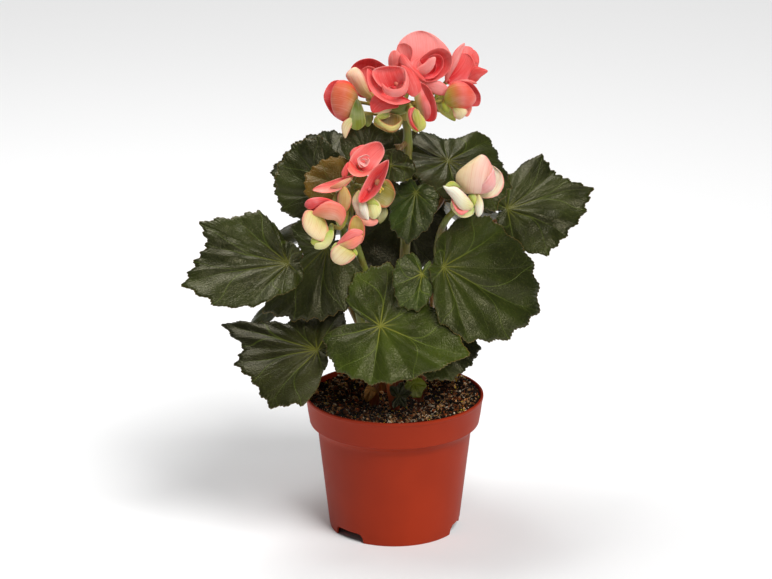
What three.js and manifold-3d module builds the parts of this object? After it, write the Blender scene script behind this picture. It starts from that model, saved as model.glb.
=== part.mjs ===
// A potted begonia with semi-double salmon flowers, in a round plastic nursery pot.
// Millimetres, +Z up. The origin is the centre of the pot's foot, and -Y is the front.
// Every leaf blade, flower and shoot is worked out from the tables below.
import * as THREE from 'three';
import { mergeVertices } from 'three/addons/utils/BufferGeometryUtils.js';
import Module from 'manifold-3d';

const wasm = await Module();
wasm.setup();

// Driving dimensions of the pot
const POT_HEIGHT = 101.6;
const RIM_RADIUS = 65;
const COLLAR_HEIGHT = 21;
const COLLAR_FOOT_RADIUS = 62;
const BODY_TOP_RADIUS = 56.8;
const FOOT_RADIUS = 47.6;
const WALL = 1.3;
const LIP = 0.5;
const LIP_HEIGHT = 2;
const COLLAR_TOP_RADIUS = RIM_RADIUS - LIP;
const COLLAR_FOOT = POT_HEIGHT - COLLAR_HEIGHT;
const LIP_FOOT = POT_HEIGHT - LIP_HEIGHT;
const ROUNDING = 0.6;
const BEVEL = 1;
const SHOULDER = 6;
const FLOOR_TOP = 6;
const FLOOR_THICKNESS = 1.8;
const POT_SIDES = 36;

// Three drain notches, 120 degrees apart, cut through the foot of the wall and the edge of the floor
const NOTCH_ANGLES = [-135, -15, 105];
const NOTCH_WIDTH = 34;
const NOTCH_HEIGHT = 7;
const NOTCH_INNER_RADIUS = 38;
const CUT_OVER = 5;
const NOTCH_SEGMENTS = 4;

// The compost, and the clearance between any two pieces that don't grow together
const SOIL_DROP = 6;
const SOIL_WAVE = 1.5;
const SWELL_ALONG_X = 11;
const SWELL_ALONG_Y = 9;
const RIPPLE = 5.3;
const SWELL_SHARE = 0.7;
const SOIL_SIDES = 20;
const SOIL_RINGS = 3;
const FACET_ROOM = 0.35;
const HOLE_CLEARANCE = 0.9;
const HOLE_DEPTH = 21;
const GAP = 0.3;
const FUSED_TOLERANCE = 0.25;

// Shoots, petioles and flower stalks
const STEM_SIDES = 8;
const STEM_STEPS = 9;
const STALK_SIDES = 5;
const STALK_STEPS = 4;
const PEDICEL_STEPS = 3;
const PETIOLE_RADII = [2.1, 1.5];
const PETIOLE_NECK = 2.5;
const PEDICEL_RADII = [1.5, 1.2];
const HEART_RADIUS = 2.8;
const HEART_GAP = 0.48;
const BEND = 0.35;
const SEAT_SLOPE = 0.15;

// Leaf blades: thickness, the two inner rings as shares of the reach, and the depth of the edge's notches
const BLADE = 0.9;
const INNER_RING = 0.42;
const OUTER_RING = 0.77;
const EDGE_NOTCH = 0.07;
const EDGE_DIP = 0.03;
const SINUS_REACH = 0.1;
const BROAD_PANEL = 40;
const PLEAT_NEAR = 1.1;
const PLEAT_FALL = 0.5;

// Petals: thickness, rows from root to tip, columns from side to side, widest place, width at the root
const PETAL = 0.75;
const PETAL_ROWS = [0, 0.42, 0.82];
const PETAL_COLUMNS = [-1, -0.36, 0.36, 1];
const SMALL_COLUMNS = [-1, 0, 1];
const SMALL_WIDTH = 27;
const WIDEST = 0.58;
const ROOT_WIDTH = 0.14;
const ROOT_FORWARD = 1.3;
const ROOT_OUTWARD = 1.2;
const STEP = 0.02;
const STEEPEST = 0.95;

// Shoots that stand in the compost. path: the points it runs through. radii: at the foot and at the top.
const SHOOTS = [
  {
    name: 'shoot_left', radii: [4.2, 2.4],
    path: [[-15, -4, 76.6], [-15, -4, 97.6], [-22, -6, 147.6], [-34, -6, 202.6], [-38, -6, 237.6]],
  },
  {
    name: 'shoot_centre', radii: [4.6, 2.6],
    path: [
      [2, 5, 76.6], [2, 5, 97.6], [4, 6, 157.6], [8, 0, 222.6], [9, -8, 280.6], [8.6, -10, 304.6],
      [5, -10, 315.6],
    ],
  },
  {
    name: 'shoot_right', radii: [4.2, 2],
    path: [
      [17, -2, 76.6], [17, -2, 97.6], [25, -3, 147.6], [32, -5, 192.6], [31, -13, 219.6], [37, -25, 241.6],
      [48, -30, 253.6],
    ],
  },
  {
    name: 'shoot_front', radii: [4, 1.9],
    path: [
      [0, -17, 76.6], [0, -17, 97.6], [-5, -22, 127.6], [-13, -24, 175.6], [-24, -27, 212.6],
      [-31, -42, 242.6], [-31, -50, 259.6], [-29, -52, 277.6],
    ],
  },
  {
    name: 'shoot_back_left', radii: [4, 2.2],
    path: [[-9, 18, 76.6], [-9, 18, 97.6], [-18, 28, 147.6], [-26, 38, 212.6], [-26, 40, 243.6]],
  },
  {
    name: 'shoot_back_right', radii: [4, 2.2],
    path: [[13, 19, 76.6], [13, 19, 97.6], [24, 30, 147.6], [34, 38, 202.6], [33, 40, 223.6]],
  },
];

// The veins of the blades at the back and at the sides, which all have one outline
const PLAIN_VEINS = [[-132, 0.6], [-80, 0.76], [-32, 0.93], [10, 1], [56, 0.8], [112, 0.64]];

// Leaf blades. from: the shoot and the share of its path. past: points that the petiole passes.
// at: where the veins meet. tip: the midrib, from there to the tip. face: where the upper face turns.
// droop: fall towards the edge. pleat: rise of each panel between two veins. fold: rise of both halves.
// lifts: local rises of the edge, each as angle, half width and height. veins: the ends of the main
// veins, each as its angle to the left of the midrib and its share of the midrib's length.
const LEAVES = [
  {
    name: 'leaf_left_upper', from: ['shoot_left', 0.5], past: [[-52, -2, 202.6], [-79, -26, 211.6]],
    at: [-74.8, -55, 217.6], tip: [-74, -14, -9], face: [0.06, -0.75, 0.65],
    droop: 0.06, pleat: 0.15, fold: 0, lifts: [[-98, 10, -5], [62, 20, 6]],
    veins: [
      [-150, 0.18], [-118, 0.2], [-97, 0.26], [-84, 0.46], [-75, 0.62], [-55, 0.7], [-38, 0.93], [-26, 0.8],
      [-14, 0.88], [0, 1.01], [20, 0.82], [42, 0.56], [68, 0.34], [120, 0.2],
    ],
  },
  {
    name: 'leaf_left_lower', from: ['shoot_left', 0.3], past: [[-34, -22, 152.6], [-48, -38, 149.6]],
    at: [-55, -50, 151.6], tip: [-71, 31, 13], face: [-0.15, -0.64, 0.75],
    droop: 0.08, pleat: 0.14, fold: 0, lifts: [[96, 14, 5]],
    veins: [
      [-140, 0.22], [-93, 0.48], [-60, 0.53], [-24, 0.42], [-10, 0.64], [0, 1], [14, 0.72], [28, 0.78],
      [50, 0.66], [76, 0.7], [102, 0.6], [130, 0.22],
    ],
  },
  {
    name: 'leaf_left_middle', from: ['shoot_left', 0.62],
    at: [-48, -23, 220.6], tip: [-49, -7, -45], face: [-0.35, -0.8, 0.5],
    droop: 0.08, pleat: 0.16, fold: 0, lifts: [[92, 24, -9]],
    veins: [
      [-140, 0.35], [-100, 0.4], [-69, 0.5], [-46, 0.34], [-20, 0.3], [2, 1], [24, 0.88], [45, 0.8],
      [66, 0.74], [104, 0.45], [140, 0.2],
    ],
  },
  {
    name: 'leaf_front', from: ['shoot_front', 0.26],
    at: [-10, -64, 174.6], tip: [62, -21, -13], face: [-0.15, -0.8, 0.58],
    droop: 0.08, pleat: 0.13, fold: 0, lifts: [[-14, 12, 5]],
    veins: [
      [-150, 0.64], [-116, 0.67], [-80, 0.64], [-40, 0.68], [0, 1], [22, 0.72], [48, 0.56], [76, 0.54],
      [104, 0.73], [134, 0.65], [160, 0.5],
    ],
  },
  {
    name: 'leaf_right_front', from: ['shoot_right', 0.36],
    at: [34, -50, 213.6], tip: [67, 8, -32], face: [0.35, -0.75, 0.55],
    droop: 0.08, pleat: 0.15, fold: 0, lifts: [],
    veins: [
      [-150, 0.16], [-104, 0.2], [-76, 0.56], [-52, 0.76], [-26, 0.93], [0, 1.07], [26, 0.97], [55, 0.82],
      [78, 0.68], [104, 0.36], [145, 0.15],
    ],
  },
  {
    name: 'leaf_right', from: ['shoot_right', 0.62],
    at: [82.4, 40, 229.6], tip: [66, 10, 12], face: [0, -0.75, 0.66],
    droop: 0.05, pleat: 0.13, fold: 0, lifts: [[46, 9, 4]],
    veins: [
      [-130, 0.22], [-92, 0.49], [-66, 0.7], [-40, 0.71], [-13, 0.86], [2, 0.98], [14, 0.76], [28, 0.7],
      [45, 0.75], [72, 0.43], [98, 0.42], [140, 0.18],
    ],
  },
  {
    name: 'leaf_right_upper', from: ['shoot_centre', 0.5], past: [[34, 20, 241.6]],
    at: [38, 15, 272.6], tip: [45, -20, -17], face: [0.1, -0.5, 0.86],
    droop: 0.22, pleat: 0.16, fold: 0, lifts: [[82, 16, 6]],
    veins: [
      [-170, 0.6], [-146, 0.6], [-120, 0.54], [-81, 0.62], [-45, 0.74], [-16, 0.98], [14, 0.95],
      [40, 0.8], [72, 0.84], [100, 0.54], [124, 0.46], [150, 0.72], [170, 0.7],
    ],
  },
  {
    name: 'leaf_left_top', from: ['shoot_left', 0.95],
    at: [-43, 0, 252.6], tip: [-36, 16, 29], face: [-0.35, -0.78, 0.5],
    droop: 0.1, pleat: 0.16, fold: 0, lifts: [],
    veins: [
      [-120, 0.36], [-80, 0.44], [-52, 0.62], [-33, 0.9], [-7, 1], [14, 0.97], [40, 0.91], [58, 0.84],
      [80, 0.64], [110, 0.45], [145, 0.3],
    ],
  },
  {
    name: 'leaf_left_crown', from: ['shoot_back_left', 0.9],
    at: [-45, 36, 256.6], tip: [-46, 26, -1], face: [-0.3, -0.5, 0.8],
    droop: 0.08, pleat: 0.16, fold: 0, lifts: [],
    veins: [
      [-150, 0.3], [-110, 0.5], [-77, 0.78], [-56, 0.96], [-30, 1], [-6, 1.04], [22, 0.86], [60, 0.6],
      [100, 0.5], [145, 0.3],
    ],
  },
  {
    name: 'leaf_crown', from: ['shoot_centre', 0.72],
    at: [-20.5, -14, 285.6], tip: [8, 6, 22], face: [0.05, -0.85, 0.5],
    droop: 0.1, pleat: 0.14, fold: 0, lifts: [],
    veins: [
      [-130, 0.42], [-95, 0.56], [-58, 0.9], [-23, 1.08], [0, 1], [24, 1.02], [48, 1], [76, 0.9], [120, 0.6],
    ],
  },
  {
    name: 'leaf_centre', from: ['shoot_centre', 0.6],
    at: [15, -26, 261.6], tip: [-10, -17, -32], face: [-0.25, -0.85, 0.5],
    droop: 0.16, pleat: 0.16, fold: -0.12, lifts: [],
    veins: [
      [-140, 0.3], [-90, 0.42], [-50, 0.6], [-20, 0.85], [4, 1], [28, 0.76], [60, 0.54], [95, 0.44],
      [145, 0.25],
    ],
  },
  {
    name: 'leaf_inner', from: ['shoot_back_left', 0.7],
    at: [8, 24, 239.6], tip: [2, -13, -46], face: [0.04, -0.8, 0.55],
    droop: 0.08, pleat: 0.14, fold: 0, lifts: [],
    veins: [
      [-140, 0.5], [-84, 0.7], [-50, 1.05], [-24, 1.2], [0, 1.08], [22, 1.04], [50, 0.8], [84, 0.6],
      [140, 0.5],
    ],
  },
  {
    name: 'leaf_bronze', tone: 'bronze', from: ['shoot_left', 1],
    at: [-33, -22, 262.6], tip: [-31, 6, 10], face: [-0.1, -0.85, 0.5],
    droop: 0.1, pleat: 0.12, fold: 0, lifts: [],
    veins: [
      [-140, 0.5], [-95, 0.6], [-57, 0.76], [-27, 0.88], [0, 1], [25, 0.95], [50, 0.8], [95, 0.65],
      [140, 0.5],
    ],
  },
  {
    name: 'leaf_right_low', from: ['shoot_right', 0.14],
    at: [24, -33, 153.6], tip: [39, 3, -6], face: [0.15, -0.75, 0.65],
    droop: 0.08, pleat: 0.14, fold: 0, lifts: [],
    veins: [
      [-140, 0.4], [-112, 0.6], [-84, 0.8], [-54, 0.86], [-24, 0.92], [0, 1], [22, 0.8], [60, 0.6],
      [105, 0.5], [150, 0.3],
    ],
  },
  {
    name: 'leaf_folded', from: ['shoot_right', 0.3],
    at: [19, -53, 209.6], tip: [-3, -15, -24], face: [0.1, -0.8, 0.58],
    droop: 0.1, pleat: 0.14, fold: 0.1, lifts: [],
    veins: [
      [-150, 0.6], [-110, 0.7], [-60, 0.8], [-28, 1], [0, 0.96], [28, 0.62], [60, 0.42], [110, 0.3],
      [155, 0.4],
    ],
  },
  {
    name: 'leaf_small_top', from: ['shoot_centre', 0.75],
    at: [-3, -28, 281.6], tip: [19, 2, -4], face: [0.1, -0.8, 0.6],
    droop: 0.1, pleat: 0.14, fold: 0, lifts: [],
    veins: [[-140, 0.5], [-90, 0.6], [-45, 0.75], [0, 1], [40, 0.8], [85, 0.7], [140, 0.5]],
  },
  {
    name: 'leaf_small_low', from: ['shoot_front', 0.16],
    at: [3, -30, 109.6], tip: [10, -3, 4], face: [0.05, -0.8, 0.6],
    droop: -0.1, pleat: 0.4, fold: 0, lifts: [],
    veins: [
      [-150, 0.6], [-120, 0.9], [-92, 0.62], [-62, 0.95], [-30, 0.64], [0, 1], [30, 0.66], [60, 1],
      [92, 0.64], [122, 0.94], [150, 0.6],
    ],
  },
  {
    name: 'leaf_small_green', from: ['shoot_front', 0.2],
    at: [13, -27, 118.6], tip: [6, -5, -9], face: [0.1, -0.9, 0.4],
    droop: 0.1, pleat: 0.2, fold: 0, lifts: [],
    veins: [
      [-130, 0.4], [-90, 0.6], [-55, 0.62], [-28, 0.9], [0, 1], [26, 0.8], [50, 0.9], [90, 0.6],
      [130, 0.4],
    ],
  },
  {
    name: 'leaf_withered', tone: 'bronze', from: ['shoot_left', 0.27],
    at: [-17, -14, 109.6], tip: [-4, -2, -10], face: [-0.2, -0.9, 0.2],
    droop: 0.2, pleat: 0.5, fold: 0, lifts: [],
    veins: [[-120, 0.3], [-70, 0.4], [-35, 0.55], [0, 1], [35, 0.6], [80, 0.45], [120, 0.3]],
  },
  {
    name: 'leaf_back_left', from: ['shoot_back_left', 0.78],
    at: [-44, 51, 217.6], tip: [-40, 33, -28], face: [-0.35, 0.55, 0.75],
    droop: 0.12, pleat: 0.16, fold: 0, lifts: [], veins: PLAIN_VEINS,
  },
  {
    name: 'leaf_back_top', from: ['shoot_back_left', 0.98], past: [[-2, 61, 243.6]],
    at: [6, 60, 252.6], tip: [9, 3, 30], face: [0.05, -0.9, 0.3],
    droop: 0.1, pleat: 0.14, fold: 0, lifts: [],
    veins: [[-100, 0.62], [-66, 0.86], [-30, 1.02], [0, 1], [30, 1.04], [58, 0.92], [86, 0.6]],
  },
  {
    name: 'leaf_back_right', from: ['shoot_back_right', 0.95],
    at: [36, 54, 231.6], tip: [24, 35, -26], face: [0.3, 0.55, 0.78],
    droop: 0.12, pleat: 0.16, fold: 0, lifts: [], veins: PLAIN_VEINS,
  },
  {
    name: 'leaf_back_left_low', from: ['shoot_back_left', 0.5],
    at: [-44, 52, 179.6], tip: [-36, 33, -26], face: [-0.4, 0.6, 0.7],
    droop: 0.12, pleat: 0.16, fold: 0, lifts: [], veins: PLAIN_VEINS,
  },
  {
    name: 'leaf_back_right_low', from: ['shoot_back_right', 0.5],
    at: [38, 55, 167.6], tip: [30, 33, -24], face: [0.4, 0.6, 0.7],
    droop: 0.12, pleat: 0.16, fold: 0, lifts: [], veins: PLAIN_VEINS,
  },
  {
    name: 'leaf_back_low', from: ['shoot_back_left', 0.36],
    at: [2, 59, 149.6], tip: [4, 38, -28], face: [0, 0.6, 0.75],
    droop: 0.12, pleat: 0.16, fold: 0, lifts: [], veins: PLAIN_VEINS,
  },
  {
    name: 'leaf_side_left', from: ['shoot_left', 0.3],
    at: [-64, 14, 173.6], tip: [-42, 22, -22], face: [-0.5, 0.1, 0.8],
    droop: 0.12, pleat: 0.16, fold: 0, lifts: [], veins: PLAIN_VEINS,
  },
  {
    name: 'leaf_side_right', from: ['shoot_back_right', 0.42],
    at: [62, 26, 183.6], tip: [36, 14, -22], face: [0.5, 0.1, 0.8],
    droop: 0.12, pleat: 0.16, fold: 0, lifts: [], veins: PLAIN_VEINS,
  },
];

// Flowers. from: the shoot that carries it and the share of its path. at: the heart. axis: the way it
// opens, as right, up and to the front. petals: the tip of each from the heart, and the way its inner
// face looks, both as right, up and to the front; then its width, cup across, bow along, and whether
// the tip is pointed.
const FLOWERS = [
  {
    name: 'flower_top_left', tone: 'salmon', from: ['shoot_centre', 0.97],
    at: [-29, -18, 325.1], axis: [-0.9, 0.1, 0.1],
    petals: [
      [-17, 3, 5, 0, 0, -1, 27, 0.25, 0.2],
      [-21, 4, -5, 0, 0, 1, 29, 0.25, 0.15],
      [-11, 13, 0, 0.4, -0.9, 0, 18, 0.2, 0.2],
    ],
  },
  {
    name: 'flower_top_back_left', tone: 'salmon', from: ['shoot_centre', 0.98],
    at: [-17.6, 2, 324], axis: [-0.35, 0.9, -0.1],
    petals: [
      [-16, 18, 6, 0.3, 0.3, -0.9, 24, 0.3, 0.2],
      [-4, 27, -4, 0, -0.3, 1, 32, 0.25, 0.15],
      [11, 22, 0, -0.7, 0, 0.6, 24, 0.2, 0.15],
      [-20, 8, -2, 0.4, 0.6, 0.6, 20, 0.25, 0.2],
    ],
  },
  {
    name: 'flower_top_front', tone: 'salmon', from: ['shoot_centre', 1],
    at: [-2.1, -28, 341.1], axis: [0, 0.15, 1],
    petals: [
      [-12, -13, 9, 0.4, 0.5, 0.75, 36, 0.3, 0.12],
      [17, -10, 4, -0.6, 0.2, 0.75, 26, 0.25, 0.15],
      [2, 12, 5, 0, -0.7, 0.6, 26, 0.25, 0.15],
      [-14, 6, 6, 0.7, -0.2, 0.6, 22, 0.25, 0.15],
      [-15, -21, -2, 0.2, 0.3, 0.9, 18, 0.15, 0.1],
      [-9, 2, 10, 1, 0, 0.4, 18, 0.3, 0.1],
      [8, 3, 10, -1, 0, 0.4, 16, 0.3, 0.1],
      [1, -8, 10, 0, 1, 0.4, 18, 0.3, 0.1],
    ],
  },
  {
    name: 'flower_top_crown', tone: 'salmon', from: ['shoot_centre', 1],
    at: [13.4, -4, 343], axis: [0, 0.3, 0.9],
    petals: [
      [5, 29, -3, 0, -0.35, 0.9, 38, 0.12, 0.1],
      [25, 10, 4, -0.4, 0.1, 0.9, 30, 0.22, 0.15],
      [16, -8, 8, -0.3, 0.6, 0.8, 22, 0.25, 0.15],
      [-17, 9, 3, 0.5, 0, 0.85, 24, 0.22, 0.15],
      [-12, 19, 3, 0.4, -0.3, 0.85, 18, 0.2, 0.1],
      [-14, -8, 7, 0.4, 0.5, 0.8, 24, 0.2, 0.15],
      [22, -14, 4, 0, 0.4, 0.9, 12, 0.1, 0.08],
      [12, 6, 9, -0.8, 0.3, 0.5, 18, 0.3, 0.15],
      [-4, 9, 8, 0.3, -0.8, 0.5, 16, 0.3, 0.1],
    ],
  },
  {
    name: 'flower_top_back', tone: 'salmon', from: ['shoot_centre', 0.96],
    at: [9, 17, 329], axis: [0.1, 0.45, -0.9],
    petals: [
      [0, 15, -4, 0, -0.3, -0.9, 26, 0.25, 0.15],
      [-15, 2, -5, 0.5, 0, -0.8, 24, 0.25, 0.15],
      [15, 0, -5, -0.5, 0, -0.8, 24, 0.25, 0.15],
      [2, -14, -4, 0, 0.5, -0.8, 24, 0.25, 0.15],
      [-4, 4, -7, 0.8, 0, -0.4, 14, 0.3, 0.1],
      [5, -2, -7, -0.8, 0, -0.4, 14, 0.3, 0.1],
    ],
  },
  {
    name: 'flower_top_right', tone: 'salmon', from: ['shoot_centre', 0.99],
    at: [37.6, 4, 335.2], axis: [0.6, 0.7, 0.2],
    petals: [
      [9, 26, 0, 0.8, -0.2, 0.5, 11, 0.15, 0.1, true],
      [15, 18, 4, -0.2, 0.1, 0.95, 24, 0.2, 0.1],
      [25, 7, 0, -0.3, 0.7, 0.6, 14, 0.15, 0.1, true],
      [20, -2, 3, -0.2, 0.8, 0.5, 14, 0.2, 0.1],
      [10, 12, -8, 0.2, 0.2, 0.9, 20, 0.2, 0.1],
    ],
  },
  {
    name: 'flower_top_low_right', tone: 'salmon', from: ['shoot_centre', 0.97],
    at: [38.1, -12, 324.7], axis: [0.95, 0.1, 0.1],
    petals: [
      [21, 5, 5, -0.1, -0.2, -0.95, 24, 0.25, 0.2],
      [22, 6, -5, 0, 0, 1, 26, 0.2, 0.15],
      [13, -12, 3, -0.2, 0.6, -0.75, 16, 0.25, 0.2],
    ],
  },
  {
    name: 'flower_top_hanging', tone: 'salmon', from: ['shoot_centre', 0.96],
    at: [15.3, -19, 323], axis: [0.75, -0.3, 0.4],
    petals: [
      [12, 4, 6, 0.3, 0.1, -0.95, 29, 0.2, 0.2],
      [12, 4, -3, 0.3, 0.1, 0.95, 30, 0.2, 0.15],
      [8, -13, 2, -0.5, 0.6, 0.6, 14, 0.2, 0.15],
    ],
  },
  {
    name: 'bud_top_left', tone: 'blush', from: ['shoot_centre', 0.95],
    at: [-6.3, -24, 316.3], axis: [0.1, -1, 0.2],
    petals: [
      [3, -10, 3, 0, 0.2, -0.95, 16, 0.35, 0.3],
      [2, -10, -3, 0, 0.1, 0.95, 16, 0.35, 0.3],
      [-8, -6, 1, 0.8, 0.6, 0, 12, 0.3, 0.2],
    ],
  },
  {
    name: 'bud_top_right', tone: 'blush', from: ['shoot_centre', 0.95],
    at: [11.8, -32, 320.1], axis: [0.1, -1, 0.1],
    petals: [
      [-2, -12, 3, 0.7, 0, -0.7, 12, 0.35, 0.3],
      [4, -13, 0, -0.7, 0, 0.7, 12, 0.35, 0.3],
      [1, -11, -4, 0, 0, 1, 11, 0.3, 0.3],
    ],
  },
  {
    name: 'flower_mid_upper', tone: 'salmon', from: ['shoot_front', 1],
    at: [-24.4, -56, 289.6], axis: [0.1, 0.3, 0.95],
    petals: [
      [12, 13, 3, -0.35, -0.35, 0.85, 28, 0.2, 0.12],
      [-9, -8, 6, 0.4, 0.5, 0.75, 26, 0.25, 0.12],
      [-14, 2, 2, 0.6, 0, 0.75, 20, 0.2, 0.15],
      [6, -8, 5, -0.3, 0.6, 0.75, 18, 0.2, 0.1],
      [4, 4, 7, -0.8, -0.4, 0.5, 12, 0.35, 0.1],
      [-4, -1, 7, 0.8, 0.3, 0.5, 12, 0.35, 0.1],
      [1, -4, 7, 0, 1, 0.5, 11, 0.35, 0.1],
    ],
  },
  {
    name: 'flower_mid_right', tone: 'salmon', from: ['shoot_front', 0.98],
    at: [-18.1, -66, 275.3], axis: [0.3, 0.1, 0.9],
    petals: [
      [-8, 5, 7, 0.4, -0.3, 0.85, 34, 0.15, 0.1],
      [6, -4, 6, -0.5, 0.3, 0.8, 34, 0.15, 0.1],
      [1, -1, 7, -0.8, 0.3, 0.5, 12, 0.3, 0.1],
    ],
  },
  {
    name: 'flower_mid_left', tone: 'salmon', from: ['shoot_front', 0.97],
    at: [-44.5, -58, 274.3], axis: [-0.2, 0.95, 0.25],
    petals: [
      [-14, 1, 3, 0.2, 0.95, 0.25, 18, 0.12, 0.1],
      [14, 6, 0, -0.2, 0.9, 0.3, 16, 0.12, 0.1],
      [-2, 1, 9, 0, 0.9, -0.3, 22, 0.1, 0.1],
      [2, 4, -8, 0, 0.8, 0.5, 20, 0.1, 0.1],
    ],
  },
  {
    name: 'flower_low_left', tone: 'salmon', from: ['shoot_front', 0.88],
    at: [-43.7, -72, 250.9], axis: [-0.8, 0.5, 0.2],
    petals: [
      [-17, 17, -4, 0.2, -0.2, 0.95, 24, 0.25, 0.15],
      [-5, 15, 7, 0, 0.3, -0.95, 30, 0.2, 0.1],
      [-21, 3, 5, 0, 0.2, -0.95, 26, 0.25, 0.2],
      [-14, -13, 3, 0.3, 0.5, 0.8, 13, 0.3, 0.2],
      [6, 5, 4, -0.4, 0.5, -0.6, 12, 0.2, 0.1],
    ],
  },
  {
    name: 'flower_low_centre', tone: 'blush', from: ['shoot_front', 0.86],
    at: [-32.6, -76, 237], axis: [-0.2, 0.2, 0.9],
    petals: [
      [7, 20, 2, -0.5, 0, 0.85, 17, 0.25, 0.12],
      [-9, 3, 7, 0, 0.8, -0.5, 18, 0.2, 0.15],
      [-10, -10, 5, 0.2, 0.4, -0.9, 20, 0.25, 0.2],
      [6, -5, 1, -0.5, 0.5, 0.6, 12, 0.2, 0.1],
    ],
  },
  {
    name: 'flower_low_right', tone: 'blush', from: ['shoot_front', 0.94],
    at: [-16.7, -60, 261.1], axis: [-0.3, -0.6, 0.4],
    petals: [
      [-12, -4, 4, 0.5, 0.1, 0.85, 22, 0.3, 0.2],
      [2, -9, 6, -0.1, 0.3, -0.9, 18, 0.3, 0.25],
      [-3, -13, 1, 0, 0.4, 0.9, 18, 0.3, 0.2],
    ],
  },
  {
    name: 'bract_right', tone: 'olive', from: ['shoot_front', 0.96],
    at: [-7, -44, 273.6], axis: [0, 0.2, 0.95],
    petals: [
      [6, 4, 0, -0.2, 0, 0.95, 18, 0.12, 0.1],
      [3, -8, 1, 0, 0.3, 0.95, 18, 0.15, 0.1],
      [-7, -2, 0, 0.3, 0, 0.95, 16, 0.1, 0.1],
      [12, -3, -4, 0, 0.1, 0.95, 16, 0.15, 0.1],
      [0, -19, -4, 0, 0.2, 0.95, 12, 0.15, 0.1],
    ],
  },
  {
    name: 'bract_left', tone: 'olive', from: ['shoot_front', 0.92],
    at: [-38, -60, 258.6], axis: [0, 0.2, 0.9],
    petals: [
      [4, 9, 2, -0.5, 0, 0.85, 14, 0.2, 0.1],
      [-6, 2, 3, 0.3, 0.1, 0.9, 12, 0.2, 0.1],
      [1, -6, 4, 0, 0.5, 0.8, 12, 0.2, 0.1],
    ],
  },
  {
    name: 'bract_top_left', tone: 'olive', from: ['shoot_centre', 0.93],
    at: [-23, -25, 318.6], axis: [-0.8, 0.1, 0.3],
    petals: [
      [-10, -17, 2, 0.5, 0.1, 0.8, 10, 0.25, 0.1, true],
      [-5, -12, -2, 0, 0, 0.9, 12, 0.2, 0.1],
      [1, -13, -4, -0.4, 0, 0.9, 9, 0.2, 0.1],
    ],
  },
  {
    name: 'bract_top_right', tone: 'olive', from: ['shoot_centre', 0.95],
    at: [32, -1, 314.6], axis: [0.9, 0, 0.2],
    petals: [
      [7, -11, 5, 0, 0.5, 0.8, 11, 0.2, 0.1],
      [1, -10, 2, 0.4, 0.2, 0.9, 10, 0.2, 0.1],
      [-3, 7, 1, 0.3, -0.3, 0.9, 10, 0.2, 0.1],
    ],
  },
  {
    name: 'flower_right', tone: 'blush', from: ['shoot_right', 1],
    at: [56.5, -32, 262.2], axis: [0.1, 0.9, 0.2],
    petals: [
      [1, 24, 5, 0, 0.1, -0.98, 30, 0.28, 0.2],
      [17, 12, -3, -0.3, 0.1, 0.95, 24, 0.25, 0.15],
      [2, 24, -4, 0, 0, 0.95, 28, 0.25, 0.15],
    ],
  },
  {
    name: 'flower_right_low', tone: 'blush', from: ['shoot_right', 0.97],
    at: [54, -38, 253.1], axis: [-0.4, -0.7, 0.3],
    petals: [
      [-20, 7, 3, 0.3, 0.6, -0.7, 14, 0.25, 0.15],
      [-8, -10, 5, 0.3, 0.3, -0.9, 18, 0.3, 0.2],
      [4, -10, 2, -0.4, 0.2, -0.9, 10, 0.2, 0.1],
    ],
  },
];

// Colours
const paint = (color, roughness) => new THREE.MeshStandardMaterial({ color, roughness, metalness: 0 });
const MATERIALS = {
  pot: paint(0xa43a20, 0.45),
  soil: paint(0x2e1c12, 1),
  leaf: paint(0x2c3d1a, 0.4),
  bronze: paint(0x6a5a1c, 0.5),
  shoot: paint(0x6e7a28, 0.5),
  salmon: paint(0xe85f58, 0.5),
  blush: paint(0xf0c8a8, 0.5),
  olive: paint(0xa8952c, 0.5),
};

const vector = ([x, y, z]) => new THREE.Vector3(x, y, z);
const radians = THREE.MathUtils.degToRad;
const lerp = THREE.MathUtils.lerp;
const part = new THREE.Group();

function addMesh(name, geometry, material) {
  const mesh = new THREE.Mesh(geometry, material);
  mesh.name = name;
  part.add(mesh);
}

// Closed solids for joining and cutting
function solidFrom(geometry) {
  const bare = new THREE.BufferGeometry().setAttribute('position', geometry.getAttribute('position'));
  if (geometry.index) bare.setIndex(geometry.index);
  const merged = mergeVertices(bare, 1e-4);
  const mesh = new wasm.Mesh({
    numProp: 3,
    vertProperties: new Float32Array(merged.attributes.position.array),
    triVerts: new Uint32Array(merged.index.array),
  });
  return new wasm.Manifold(mesh);
}

function geometryFrom(solid) {
  const mesh = solid.getMesh();
  const positions = new THREE.BufferAttribute(new Float32Array(mesh.vertProperties), 3);
  const geometry = new THREE.BufferGeometry().setAttribute('position', positions);
  geometry.setIndex(new THREE.BufferAttribute(new Uint32Array(mesh.triVerts), 1));
  return geometry;
}

function closedGeometry(points, triangles) {
  const positions = new Float32Array(points.flatMap((point) => [point.x, point.y, point.z]));
  const geometry = new THREE.BufferGeometry();
  geometry.setAttribute('position', new THREE.BufferAttribute(positions, 3));
  geometry.setIndex(triangles.flat());
  return geometry;
}

// A sheet of one thickness from the points and normals of its middle, its triangles and its border in order
function sheetGeometry(middle, normals, triangles, border, thickness) {
  const count = middle.length;
  const top = middle.map((point, i) => point.clone().addScaledVector(normals[i], thickness / 2));
  const bottom = middle.map((point, i) => point.clone().addScaledVector(normals[i], -thickness / 2));
  const faces = triangles.flatMap(([a, b, c]) => [[a, b, c], [a + count, c + count, b + count]]);
  border.forEach((a, i) => {
    const b = border[(i + 1) % border.length];
    faces.push([a, a + count, b + count], [a, b + count, b]);
  });
  return closedGeometry([...top, ...bottom], faces);
}

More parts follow.
